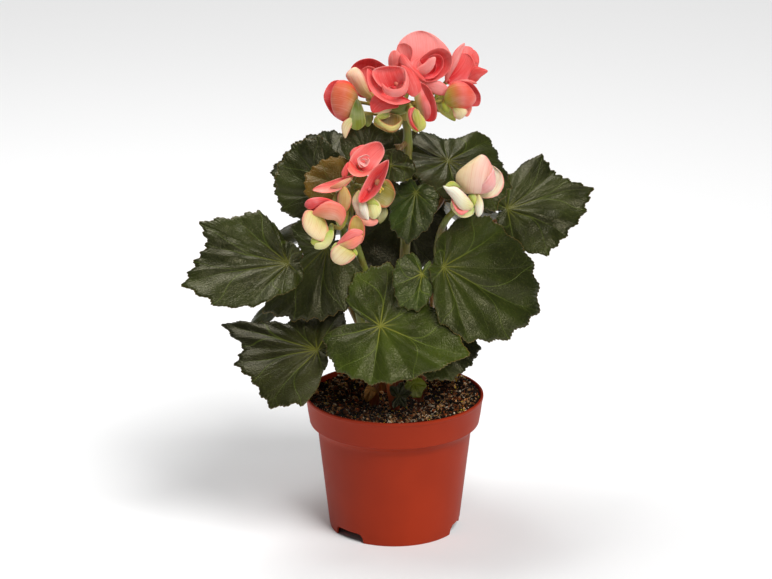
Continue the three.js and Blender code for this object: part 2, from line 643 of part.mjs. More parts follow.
// A tube through the points, with a flat cap at both ends
function tubeGeometry(points, radii, sides) {
  const rings = [];
  let side = new THREE.Vector3(1, 0.2, 0.1);
  points.forEach((point, i) => {
    const before = points[Math.max(i - 1, 0)];
    const after = points[Math.min(i + 1, points.length - 1)];
    const ahead = after.clone().sub(before).normalize();
    side = side.clone().addScaledVector(ahead, -side.dot(ahead)).normalize();
    const across = ahead.clone().cross(side);
    const radius = lerp(radii[0], radii[1], i / (points.length - 1));
    for (let k = 0; k < sides; k += 1) {
      const angle = (2 * Math.PI * k) / sides;
      const outward = side.clone().multiplyScalar(Math.cos(angle)).addScaledVector(across, Math.sin(angle));
      rings.push(point.clone().addScaledVector(outward, radius));
    }
  });
  const faces = [];
  for (let i = 0; i + 1 < points.length; i += 1) {
    for (let k = 0; k < sides; k += 1) {
      const a = i * sides + k;
      const b = i * sides + ((k + 1) % sides);
      faces.push([a, b, b + sides], [a, b + sides, a + sides]);
    }
  }
  const last = (points.length - 1) * sides;
  for (let k = 1; k + 1 < sides; k += 1) {
    faces.push([0, k + 1, k], [last, last + k, last + k + 1]);
  }
  return closedGeometry(rings, faces);
}

// A lathe about +Z from [radius, height] pairs that run up the outside
function lathe(profile, sides) {
  const points = profile.map(([radius, height]) => new THREE.Vector2(radius, height));
  const geometry = new THREE.LatheGeometry(points, sides);
  geometry.rotateX(Math.PI / 2);
  return geometry;
}

function bodyRadius(height) {
  return THREE.MathUtils.mapLinear(height, 0, COLLAR_FOOT, FOOT_RADIUS, BODY_TOP_RADIUS);
}

// The pot: a tapered body, a stepped collar with a small lip, and a raised floor
function makePot() {
  const floorUnder = FLOOR_TOP - FLOOR_THICKNESS;
  const shoulder = COLLAR_FOOT - SHOULDER;
  const profile = [
    [0, floorUnder],
    [bodyRadius(floorUnder) - WALL, floorUnder],
    [FOOT_RADIUS - WALL, 0],
    [FOOT_RADIUS, 0],
    [bodyRadius(shoulder), shoulder],
    [COLLAR_FOOT_RADIUS - ROUNDING, COLLAR_FOOT],
    [COLLAR_FOOT_RADIUS, COLLAR_FOOT + BEVEL],
    [COLLAR_TOP_RADIUS, LIP_FOOT - BEVEL],
    [RIM_RADIUS, LIP_FOOT],
    [RIM_RADIUS, POT_HEIGHT - ROUNDING],
    [RIM_RADIUS - ROUNDING, POT_HEIGHT],
    [COLLAR_TOP_RADIUS - WALL, POT_HEIGHT],
    [COLLAR_FOOT_RADIUS - WALL, COLLAR_FOOT + BEVEL],
    [bodyRadius(shoulder) - WALL, shoulder + BEVEL],
    [bodyRadius(FLOOR_TOP) - WALL, FLOOR_TOP],
    [0, FLOOR_TOP],
  ];
  let pot = solidFrom(lathe(profile, POT_SIDES));
  for (const angle of NOTCH_ANGLES) {
    const sector = new THREE.Shape();
    const half = radians(NOTCH_WIDTH / 2);
    sector.absarc(0, 0, FOOT_RADIUS + CUT_OVER, -half, half, false);
    sector.absarc(0, 0, NOTCH_INNER_RADIUS, half, -half, true);
    const cutter = new THREE.ExtrudeGeometry(sector, {
      depth: NOTCH_HEIGHT + CUT_OVER, bevelEnabled: false, curveSegments: NOTCH_SEGMENTS,
    });
    cutter.translate(0, 0, -CUT_OVER);
    cutter.rotateZ(radians(angle));
    pot = pot.subtract(solidFrom(cutter));
  }
  addMesh('pot', geometryFrom(pot), MATERIALS.pot);
}

// The compost fills the pot to just under the rim, with an uneven top and a plain hole for each shoot
function makeSoil() {
  const top = POT_HEIGHT - SOIL_DROP;
  const low = FLOOR_TOP + GAP;
  const shoulder = COLLAR_FOOT - SHOULDER;
  const collarLow = COLLAR_FOOT + BEVEL;
  const room = WALL + GAP + FACET_ROOM;
  const grown = (top - collarLow) / (LIP_FOOT - BEVEL - collarLow);
  const edge = lerp(COLLAR_FOOT_RADIUS, COLLAR_TOP_RADIUS, grown) - room;
  const rings = [
    { radius: bodyRadius(low) - room, height: low },
    { radius: bodyRadius(shoulder) - room, height: shoulder + BEVEL },
    { radius: COLLAR_FOOT_RADIUS - room, height: collarLow + ROUNDING },
  ];
  const levelRings = rings.length;
  for (let i = 0; i < SOIL_RINGS; i += 1) rings.push({ radius: edge * (1 - i / SOIL_RINGS), height: top });
  const points = [new THREE.Vector3(0, 0, low)];
  rings.forEach(({ radius, height }, level) => {
    for (let k = 0; k < SOIL_SIDES; k += 1) {
      const angle = (2 * Math.PI * k) / SOIL_SIDES;
      const x = radius * Math.cos(angle);
      const y = radius * Math.sin(angle);
      const wave = level < levelRings ? 0 : soilWave(x, y);
      points.push(new THREE.Vector3(x, y, height + wave));
    }
  });
  points.push(new THREE.Vector3(0, 0, top + soilWave(0, 0)));
  const faces = [];
  const at = (level, k) => 1 + level * SOIL_SIDES + (k % SOIL_SIDES);
  for (let k = 0; k < SOIL_SIDES; k += 1) {
    faces.push([0, at(0, k + 1), at(0, k)]);
    for (let level = 0; level + 1 < rings.length; level += 1) {
      faces.push([at(level, k), at(level, k + 1), at(level + 1, k + 1)]);
      faces.push([at(level, k), at(level + 1, k + 1), at(level + 1, k)]);
    }
    faces.push([at(rings.length - 1, k), at(rings.length - 1, k + 1), points.length - 1]);
  }
  let soil = solidFrom(closedGeometry(points, faces));
  for (const shoot of SHOOTS) {
    const [x, y] = shoot.path[0];
    const radius = shoot.radii[0] + HOLE_CLEARANCE;
    const hole = new THREE.CylinderGeometry(radius, radius, HOLE_DEPTH + CUT_OVER, STEM_SIDES);
    hole.rotateX(Math.PI / 2);
    hole.translate(x, y, top + (CUT_OVER - HOLE_DEPTH) / 2);
    soil = soil.subtract(solidFrom(hole));
  }
  addMesh('soil', geometryFrom(soil), MATERIALS.soil);
}

// The height of the uneven top: one long swell and one short
function soilWave(x, y) {
  const swell = Math.sin(x / SWELL_ALONG_X + 1) * Math.cos(y / SWELL_ALONG_Y);
  const ripple = Math.sin((x + y) / RIPPLE);
  return SOIL_WAVE * lerp(ripple, swell, SWELL_SHARE);
}

// The frame of a blade: its midrib's direction, its face and its left side
function bladeFrame(leaf) {
  const ahead = vector(leaf.tip).normalize();
  const face = vector(leaf.face);
  face.addScaledVector(ahead, -face.dot(ahead)).normalize();
  const left = face.clone().cross(ahead);
  return { origin: vector(leaf.at), ahead, face, left, length: vector(leaf.tip).length() };
}

// The ends of the veins with the sinus closed behind the junction, in order of their angle
function outline(leaf) {
  const veins = [...leaf.veins].sort((a, b) => a[0] - b[0]);
  return [[-180, SINUS_REACH], ...veins];
}

function bladeRise(leaf, length, angle, radius, share, panel, panelWidth) {
  const arch = (1 - Math.cos(2 * Math.PI * panel)) / 2;
  const strength = (PLEAT_NEAR - PLEAT_FALL * share) * Math.min(1, panelWidth / BROAD_PANEL);
  const pleat = leaf.pleat * radius * arch * strength;
  const fold = leaf.fold * Math.abs(Math.sin(radians(angle))) * radius;
  const lift = (centre, half, height) => height * Math.exp(-(((angle - centre) / half) ** 2));
  const lifts = leaf.lifts.reduce((sum, each) => sum + lift(...each), 0);
  return pleat + fold + lifts * share * share - (leaf.droop * radius * radius) / length;
}

function bladePoint(leaf, frame, angle, radius, share, panel, panelWidth) {
  const rise = bladeRise(leaf, frame.length, angle, radius, share, panel, panelWidth);
  return frame.origin.clone()
    .addScaledVector(frame.ahead, radius * Math.cos(radians(angle)))
    .addScaledVector(frame.left, radius * Math.sin(radians(angle)))
    .addScaledVector(frame.face, rise);
}

// The blade: a fan from the junction, a ring on the veins, a ring with a point in each panel, and the edge
function makeLeaf(leaf) {
  const frame = bladeFrame(leaf);
  const veins = outline(leaf);
  const count = veins.length;
  const points = [frame.origin.clone()];
  const spot = (index, panel, share) => {
    const [angle, reach] = veins[index];
    const [nextAngle, nextReach] = index + 1 < count ? veins[index + 1] : [180, veins[0][1]];
    const notch = panel === 0 ? 0 : EDGE_DIP + (panel === 0.5 ? 0 : EDGE_NOTCH);
    const radius = lerp(reach, nextReach, panel) * (1 - notch * (share === 1 ? 1 : 0)) * share * frame.length;
    return bladePoint(leaf, frame, lerp(angle, nextAngle, panel), radius, share, panel, nextAngle - angle);
  };
  for (let i = 0; i < count; i += 1) points.push(spot(i, 0, INNER_RING));
  for (let i = 0; i < count; i += 1) points.push(spot(i, 0, OUTER_RING), spot(i, 0.5, OUTER_RING));
  for (let i = 0; i < count; i += 1) {
    for (let k = 0; k < 4; k += 1) points.push(spot(i, k / 4, 1));
  }
  const inner = (i) => 1 + (i % count);
  const outer = (i) => 1 + count + (i % (2 * count));
  const edge = (i) => 1 + 3 * count + (i % (4 * count));
  const triangles = [];
  for (let i = 0; i < count; i += 1) {
    triangles.push([0, inner(i), inner(i + 1)]);
    triangles.push([inner(i), outer(2 * i), outer(2 * i + 1)]);
    triangles.push([inner(i), outer(2 * i + 1), inner(i + 1)]);
    triangles.push([inner(i + 1), outer(2 * i + 1), outer(2 * i + 2)]);
  }
  for (let i = 0; i < 2 * count; i += 1) {
    triangles.push([outer(i), edge(2 * i), edge(2 * i + 1)]);
    triangles.push([outer(i), edge(2 * i + 1), outer(i + 1)]);
    triangles.push([outer(i + 1), edge(2 * i + 1), edge(2 * i + 2)]);
  }
  const border = Array.from({ length: 4 * count }, (_, i) => edge(i));
  const normals = points.map(() => frame.face);
  const blade = sheetGeometry(points, normals, triangles, border, BLADE);
  addMesh(leaf.name, blade, MATERIALS[leaf.tone ?? 'leaf']);
}

// One petal as a curved sheet from the heart to its tip
function petalPoint(petal, across, along) {
  const { length, ahead, side, face, width, cup, bow } = petal;
  const grown = along < WIDEST
    ? lerp(ROOT_WIDTH, 1, Math.sin((Math.PI / 2) * (along / WIDEST)))
    : petalTip(petal, (along - WIDEST) / (1 - WIDEST));
  const reach = (width / 2) * grown * across;
  const rise = cup * width * grown * across * across - bow * length * 4 * along * (1 - along);
  return new THREE.Vector3()
    .addScaledVector(ahead, length * along)
    .addScaledVector(side, reach)
    .addScaledVector(face, rise);
}

function petalTip(petal, share) {
  return petal.pointed ? 1 - share ** 1.4 : Math.sqrt(Math.max(0, 1 - share * share));
}

function petalGeometry(heart, numbers) {
  const [right, up, front, faceRight, faceUp, faceFront, width, cup, bow, pointed = false] = numbers;
  const tip = new THREE.Vector3(right, -front, up);
  const face = new THREE.Vector3(faceRight, -faceFront, faceUp).normalize();
  const root = tip.clone().setLength(ROOT_FORWARD).addScaledVector(face, -ROOT_OUTWARD);
  tip.sub(root);
  const ahead = tip.clone().normalize();
  face.addScaledVector(ahead, -face.dot(ahead)).normalize();
  const side = face.clone().cross(ahead);
  const across = width < SMALL_WIDTH ? SMALL_COLUMNS : PETAL_COLUMNS;
  const petal = { length: tip.length(), ahead, face, side, width, cup, bow, pointed };
  const points = [];
  const normals = [];
  const put = (sideways, along) => {
    const slope = Math.min(along, STEEPEST);
    const at = (u, v) => petalPoint(petal, u, v);
    const alongWay = at(sideways, slope + STEP).sub(at(sideways, slope - STEP));
    const acrossWay = at(sideways + STEP, slope).sub(at(sideways - STEP, slope));
    points.push(at(sideways, along).add(root).add(heart));
    normals.push(alongWay.cross(acrossWay).normalize());
  };
  for (const along of PETAL_ROWS) {
    for (const sideways of across) put(sideways, along);
  }
  put(0, 1);
  const columns = across.length;
  const last = points.length - 1;
  const triangles = [];
  for (let row = 0; row + 1 < PETAL_ROWS.length; row += 1) {
    for (let k = 0; k + 1 < columns; k += 1) {
      const a = row * columns + k;
      triangles.push([a, a + columns, a + 1], [a + 1, a + columns, a + columns + 1]);
    }
  }
  const tipRow = (PETAL_ROWS.length - 1) * columns;
  for (let k = 0; k + 1 < columns; k += 1) triangles.push([tipRow + k, last, tipRow + k + 1]);
  const border = [];
  for (let row = 0; row < PETAL_ROWS.length; row += 1) border.push(row * columns);
  border.push(last);
  for (let row = PETAL_ROWS.length - 1; row >= 0; row -= 1) border.push(row * columns + columns - 1);
  for (let k = columns - 2; k > 0; k -= 1) border.push(k);
  return sheetGeometry(points, normals, triangles, border, PETAL);
}

function makeFlower(flower) {
  const heart = vector(flower.at);
  const core = new THREE.IcosahedronGeometry(HEART_RADIUS, 0);
  core.translate(heart.x, heart.y, heart.z);
  let solid = solidFrom(core);
  for (const petal of flower.petals) solid = solid.add(solidFrom(petalGeometry(heart, petal)));
  addMesh(flower.name, geometryFrom(solid.asOriginal().simplify(FUSED_TOLERANCE)), MATERIALS[flower.tone]);
}

function smoothCurve(points) {
  return new THREE.CatmullRomCurve3(points, false, 'centripetal');
}

// A bent stalk from one point to another, which it meets along the given direction
function bentWay(start, rise, end, arrival, steps) {
  const reach = start.distanceTo(end);
  const first = start.clone().addScaledVector(rise, reach * BEND);
  const second = end.clone().addScaledVector(arrival, -reach * BEND);
  return new THREE.CubicBezierCurve3(start, first, second, end).getPoints(steps);
}

function uphill(start, end) {
  return end.clone().sub(start).normalize().add(new THREE.Vector3(0, 0, 0.5)).normalize();
}

function makeShoot(shoot) {
  const way = smoothCurve(shoot.path.map(vector));
  let solid = solidFrom(tubeGeometry(way.getPoints(STEM_STEPS), shoot.radii, STEM_SIDES));
  for (const leaf of LEAVES.filter((each) => each.from[0] === shoot.name)) {
    const frame = bladeFrame(leaf);
    const start = way.getPoint(leaf.from[1]);
    const seat = BLADE / 2 + GAP + SEAT_SLOPE * PETIOLE_RADII[1];
    const end = frame.origin.clone().addScaledVector(frame.face, -seat);
    const neck = end.clone().addScaledVector(frame.face, -PETIOLE_NECK);
    const stalk = leaf.past
      ? smoothCurve([start, ...leaf.past.map(vector), neck]).getPoints(2 * STALK_STEPS)
      : bentWay(start, uphill(start, neck), neck, frame.face, STALK_STEPS);
    solid = solid.add(solidFrom(tubeGeometry([...stalk, end], PETIOLE_RADII, STALK_SIDES)));
  }
  for (const flower of FLOWERS.filter((each) => each.from[0] === shoot.name)) {
    const axis = new THREE.Vector3(flower.axis[0], -flower.axis[2], flower.axis[1]).normalize();
    const start = way.getPoint(flower.from[1]);
    const end = vector(flower.at).addScaledVector(axis, -HEART_RADIUS - HEART_GAP);
    const rise = end.clone().sub(start).normalize();
    const stalk = bentWay(start, rise, end, axis, PEDICEL_STEPS);
    solid = solid.add(solidFrom(tubeGeometry(stalk, PEDICEL_RADII, STALK_SIDES)));
  }
  addMesh(shoot.name, geometryFrom(solid.asOriginal().simplify(FUSED_TOLERANCE)), MATERIALS.shoot);
}

makePot();
makeSoil();
SHOOTS.forEach(makeShoot);
LEAVES.forEach(makeLeaf);
FLOWERS.forEach(makeFlower);

export default part;
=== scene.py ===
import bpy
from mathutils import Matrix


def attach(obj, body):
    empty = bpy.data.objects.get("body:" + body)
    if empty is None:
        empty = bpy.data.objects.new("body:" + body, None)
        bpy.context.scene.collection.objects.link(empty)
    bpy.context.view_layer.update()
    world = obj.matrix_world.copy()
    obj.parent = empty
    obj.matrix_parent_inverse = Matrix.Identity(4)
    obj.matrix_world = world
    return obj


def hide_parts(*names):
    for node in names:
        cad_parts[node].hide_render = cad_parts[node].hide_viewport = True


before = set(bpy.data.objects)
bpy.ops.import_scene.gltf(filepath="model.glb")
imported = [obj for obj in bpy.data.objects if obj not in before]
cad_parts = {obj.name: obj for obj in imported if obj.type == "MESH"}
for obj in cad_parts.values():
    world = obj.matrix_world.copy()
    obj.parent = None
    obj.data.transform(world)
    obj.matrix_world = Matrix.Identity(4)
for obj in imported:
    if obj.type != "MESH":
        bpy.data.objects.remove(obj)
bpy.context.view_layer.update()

import math
import random
from collections import namedtuple

import bmesh
import bpy
import numpy as np
from mathutils import Vector

# The plant and the pot are given in millimetres, and MM turns them into Blender's metres
MM = 0.001
LEAF_THICKNESS = 0.55
PETAL_THICKNESS = 0.42

# The camera stands where the photograph was taken from: level, 18 degrees down, with a long lens
camera_data = bpy.data.cameras.new("camera")
camera_data.lens = 142.04
camera_data.sensor_width = 36
camera_data.clip_end = 20
camera = bpy.data.objects.new("camera", camera_data)
camera.location = (-0.0062, -2.0923, 0.8606)
camera.rotation_euler = (math.radians(72), 0, 0)
bpy.context.scene.collection.objects.link(camera)
bpy.context.scene.camera = camera

# Shoots: the radii at the foot and at the top, and the points that they grow through
Shoot = namedtuple("Shoot", "name foot_radius top_radius path")
SHOOTS = [
    Shoot("shoot_left", 4.2, 2.4, [(-15, -4, 76.6), (-15, -4, 97.6), (-22, -6, 147.6), (-34, -6, 202.6),
          (-38, -6, 237.6)]),
    Shoot("shoot_centre", 4.6, 2.6, [(2, 5, 76.6), (2, 5, 97.6), (4, 6, 157.6), (8, 0, 222.6),
          (9, -8, 280.6), (8.6, -10, 304.6), (5, -10, 315.6)]),
    Shoot("shoot_right", 4.2, 2, [(17, -2, 76.6), (17, -2, 97.6), (25, -3, 147.6), (32, -5, 192.6),
          (31, -13, 219.6), (37, -25, 241.6), (48, -30, 253.6)]),
    Shoot("shoot_front", 4, 1.9, [(0, -17, 76.6), (0, -17, 97.6), (-5, -22, 127.6), (-13, -24, 175.6),
          (-24, -27, 212.6), (-31, -42, 242.6), (-31, -50, 259.6), (-29, -52, 277.6)]),
    Shoot("shoot_back_left", 4, 2.2, [(-9, 18, 76.6), (-9, 18, 97.6), (-18, 28, 147.6), (-26, 38, 212.6),
          (-26, 40, 243.6)]),
    Shoot("shoot_back_right", 4, 2.2, [(13, 19, 76.6), (13, 19, 97.6), (24, 30, 147.6), (34, 38, 202.6),
          (33, 40, 223.6)]),
]

# Leaves: the shoot that they grow from and the share of its height, the hub of the blade, the way from the
# hub to the tip, and where the face looks. Then what differs from most: how far the blade droops, how deep
# its pleats and its middle fold are, its colour, how plainly its veins are seen, its slot, lifts of the edge
# (angle, half width and height), points that the petiole goes past, and veins (angle and reach).
PLAIN_VEINS = ((-132, 0.6), (-80, 0.76), (-32, 0.93), (10, 1), (56, 0.8), (112, 0.64))
Leaf = namedtuple(
    "Leaf", "name shoot share at tip face droop pleat fold colour seen slot lifts past veins",
    defaults=(0.12, 0.16, 0, (38, 44, 11), 0.45, "leaf", (), (), PLAIN_VEINS),
)
LEAVES = [
    Leaf("leaf_left_upper", "shoot_left", 0.5, (-74.8, -55, 217.6), (-74, -14, -9), (0.06, -0.75, 0.65),
         droop=0.06, pleat=0.15, colour=(38, 45, 10), seen=0.5, lifts=[(-98, 10, -5), (62, 20, 6)],
         past=[(-52, -2, 202.6), (-79, -26, 211.6)], veins=[(-150, 0.18), (-118, 0.2), (-97, 0.26),
         (-84, 0.46), (-75, 0.62), (-55, 0.7), (-38, 0.93), (-26, 0.8), (-14, 0.88), (0, 1.01), (20, 0.82),
         (42, 0.56), (68, 0.34), (120, 0.2)]),
    Leaf("leaf_left_lower", "shoot_left", 0.3, (-55, -50, 151.6), (-71, 31, 13), (-0.15, -0.64, 0.75),
         droop=0.08, pleat=0.14, colour=(38, 40, 12), seen=0.7, lifts=[(96, 14, 5)],
         past=[(-34, -22, 152.6), (-48, -38, 149.6)], veins=[(-140, 0.22), (-93, 0.48), (-60, 0.53),
         (-24, 0.42), (-10, 0.64), (0, 1), (14, 0.72), (28, 0.78), (50, 0.66), (76, 0.7), (102, 0.6),
         (130, 0.22)]),
    Leaf("leaf_left_middle", "shoot_left", 0.62, (-48, -23, 220.6), (-49, -7, -45), (-0.35, -0.8, 0.5),
         droop=0.08, lifts=[(92, 24, -9)], veins=[(-140, 0.35), (-100, 0.4), (-69, 0.5), (-46, 0.34),
         (-20, 0.3), (2, 1), (24, 0.88), (45, 0.8), (66, 0.74), (104, 0.45), (140, 0.2)]),
    Leaf("leaf_front", "shoot_front", 0.26, (-10, -64, 174.6), (62, -21, -13), (-0.15, -0.8, 0.58),
         droop=0.08, pleat=0.13, colour=(52, 64, 10), seen=1.0, lifts=[(-14, 12, 5)], veins=[(-150, 0.64),
         (-116, 0.67), (-80, 0.64), (-40, 0.68), (0, 1), (22, 0.72), (48, 0.56), (76, 0.54), (104, 0.73),
         (134, 0.65), (160, 0.5)]),
    Leaf("leaf_right_front", "shoot_right", 0.36, (34, -50, 213.6), (67, 8, -32), (0.35, -0.75, 0.55),
         droop=0.08, pleat=0.15, colour=(40, 48, 11), seen=0.6, veins=[(-150, 0.16), (-104, 0.2),
         (-76, 0.56), (-52, 0.76), (-26, 0.93), (0, 1.07), (26, 0.97), (55, 0.82), (78, 0.68), (104, 0.36),
         (145, 0.15)]),
    Leaf("leaf_right", "shoot_right", 0.62, (82.4, 40, 229.6), (66, 10, 12), (0, -0.75, 0.66), droop=0.05,
         pleat=0.13, lifts=[(46, 9, 4)], veins=[(-130, 0.22), (-92, 0.49), (-66, 0.7), (-40, 0.71),
         (-13, 0.86), (2, 0.98), (14, 0.76), (28, 0.7), (45, 0.75), (72, 0.43), (98, 0.42), (140, 0.18)]),
    Leaf("leaf_right_upper", "shoot_centre", 0.5, (38, 15, 272.6), (45, -20, -17), (0.1, -0.5, 0.86),
         droop=0.22, lifts=[(82, 16, 6)], past=[(34, 20, 241.6)], veins=[(-170, 0.6), (-146, 0.6),
         (-120, 0.54), (-81, 0.62), (-45, 0.74), (-16, 0.98), (14, 0.95), (40, 0.8), (72, 0.84),
         (100, 0.54), (124, 0.46), (150, 0.72), (170, 0.7)]),
    Leaf("leaf_left_top", "shoot_left", 0.95, (-43, 0, 252.6), (-36, 16, 29), (-0.35, -0.78, 0.5),
         droop=0.1, veins=[(-120, 0.36), (-80, 0.44), (-52, 0.62), (-33, 0.9), (-7, 1), (14, 0.97),
         (40, 0.91), (58, 0.84), (80, 0.64), (110, 0.45), (145, 0.3)]),
    Leaf("leaf_left_crown", "shoot_back_left", 0.9, (-45, 36, 256.6), (-46, 26, -1), (-0.3, -0.5, 0.8),
         droop=0.08, veins=[(-150, 0.3), (-110, 0.5), (-77, 0.78), (-56, 0.96), (-30, 1), (-6, 1.04),
         (22, 0.86), (60, 0.6), (100, 0.5), (145, 0.3)]),
    Leaf("leaf_crown", "shoot_centre", 0.72, (-20.5, -14, 285.6), (8, 6, 22), (0.05, -0.85, 0.5), droop=0.1,
         pleat=0.14, veins=[(-130, 0.42), (-95, 0.56), (-58, 0.9), (-23, 1.08), (0, 1), (24, 1.02), (48, 1),
         (76, 0.9), (120, 0.6)]),
    Leaf("leaf_centre", "shoot_centre", 0.6, (15, -26, 261.6), (-10, -17, -32), (-0.25, -0.85, 0.5),
         droop=0.16, fold=-0.12, colour=(46, 62, 20), seen=0.5, veins=[(-140, 0.3), (-90, 0.42), (-50, 0.6),
         (-20, 0.85), (4, 1), (28, 0.76), (60, 0.54), (95, 0.44), (145, 0.25)]),
    Leaf("leaf_inner", "shoot_back_left", 0.7, (8, 24, 239.6), (2, -13, -46), (0.04, -0.8, 0.55),
         droop=0.08, pleat=0.14, colour=(26, 30, 14), seen=0.3, veins=[(-140, 0.5), (-84, 0.7), (-50, 1.05),
         (-24, 1.2), (0, 1.08), (22, 1.04), (50, 0.8), (84, 0.6), (140, 0.5)]),
    Leaf("leaf_bronze", "shoot_left", 1, (-33, -22, 262.6), (-31, 6, 10), (-0.1, -0.85, 0.5), droop=0.1,
         pleat=0.12, colour=(104, 74, 18), seen=0.3, slot="young_leaf", veins=[(-140, 0.5), (-95, 0.6),
         (-57, 0.76), (-27, 0.88), (0, 1), (25, 0.95), (50, 0.8), (95, 0.65), (140, 0.5)]),
    Leaf("leaf_right_low", "shoot_right", 0.14, (24, -33, 153.6), (39, 3, -6), (0.15, -0.75, 0.65),
         droop=0.08, pleat=0.14, veins=[(-140, 0.4), (-112, 0.6), (-84, 0.8), (-54, 0.86), (-24, 0.92),
         (0, 1), (22, 0.8), (60, 0.6), (105, 0.5), (150, 0.3)]),
    Leaf("leaf_folded", "shoot_right", 0.3, (19, -53, 209.6), (-3, -15, -24), (0.1, -0.8, 0.58), droop=0.1,
         pleat=0.14, fold=0.1, colour=(52, 66, 22), seen=1.0, veins=[(-150, 0.6), (-110, 0.7), (-60, 0.8),
         (-28, 1), (0, 0.96), (28, 0.62), (60, 0.42), (110, 0.3), (155, 0.4)]),
    Leaf("leaf_small_top", "shoot_centre", 0.75, (-3, -28, 281.6), (19, 2, -4), (0.1, -0.8, 0.6), droop=0.1,
         pleat=0.14, veins=[(-140, 0.5), (-90, 0.6), (-45, 0.75), (0, 1), (40, 0.8), (85, 0.7),
         (140, 0.5)]),
    Leaf("leaf_small_low", "shoot_front", 0.16, (3, -30, 109.6), (10, -3, 4), (0.05, -0.8, 0.6), droop=-0.1,
         pleat=0.4, colour=(20, 28, 10), seen=0.3, veins=[(-150, 0.6), (-120, 0.9), (-92, 0.62),
         (-62, 0.95), (-30, 0.64), (0, 1), (30, 0.66), (60, 1), (92, 0.64), (122, 0.94), (150, 0.6)]),
    Leaf("leaf_small_green", "shoot_front", 0.2, (13, -27, 118.6), (6, -5, -9), (0.1, -0.9, 0.4), droop=0.1,
         pleat=0.2, colour=(124, 134, 26), seen=0.3, veins=[(-130, 0.4), (-90, 0.6), (-55, 0.62),
         (-28, 0.9), (0, 1), (26, 0.8), (50, 0.9), (90, 0.6), (130, 0.4)]),
    Leaf("leaf_withered", "shoot_left", 0.27, (-17, -14, 109.6), (-4, -2, -10), (-0.2, -0.9, 0.2),
         droop=0.2, pleat=0.5, colour=(232, 160, 84), seen=0.3, slot="young_leaf", veins=[(-120, 0.3),
         (-70, 0.4), (-35, 0.55), (0, 1), (35, 0.6), (80, 0.45), (120, 0.3)]),
    Leaf("leaf_back_left", "shoot_back_left", 0.78, (-44, 51, 217.6), (-40, 33, -28), (-0.35, 0.55, 0.75)),
    Leaf("leaf_back_top", "shoot_back_left", 0.98, (6, 60, 252.6), (9, 3, 30), (0.05, -0.9, 0.3), droop=0.1,
         pleat=0.14, past=[(-2, 61, 243.6)], veins=[(-100, 0.62), (-66, 0.86), (-30, 1.02), (0, 1),
         (30, 1.04), (58, 0.92), (86, 0.6)]),
    Leaf("leaf_back_right", "shoot_back_right", 0.95, (36, 54, 231.6), (24, 35, -26), (0.3, 0.55, 0.78)),
    Leaf("leaf_back_left_low", "shoot_back_left", 0.5, (-44, 52, 179.6), (-36, 33, -26), (-0.4, 0.6, 0.7)),
    Leaf("leaf_back_right_low", "shoot_back_right", 0.5, (38, 55, 167.6), (30, 33, -24), (0.4, 0.6, 0.7)),
    Leaf("leaf_back_low", "shoot_back_left", 0.36, (2, 59, 149.6), (4, 38, -28), (0, 0.6, 0.75)),
    Leaf("leaf_side_left", "shoot_left", 0.3, (-64, 14, 173.6), (-42, 22, -22), (-0.5, 0.1, 0.8)),
    Leaf("leaf_side_right", "shoot_back_right", 0.42, (62, 26, 183.6), (36, 14, -22), (0.5, 0.1, 0.8)),
]

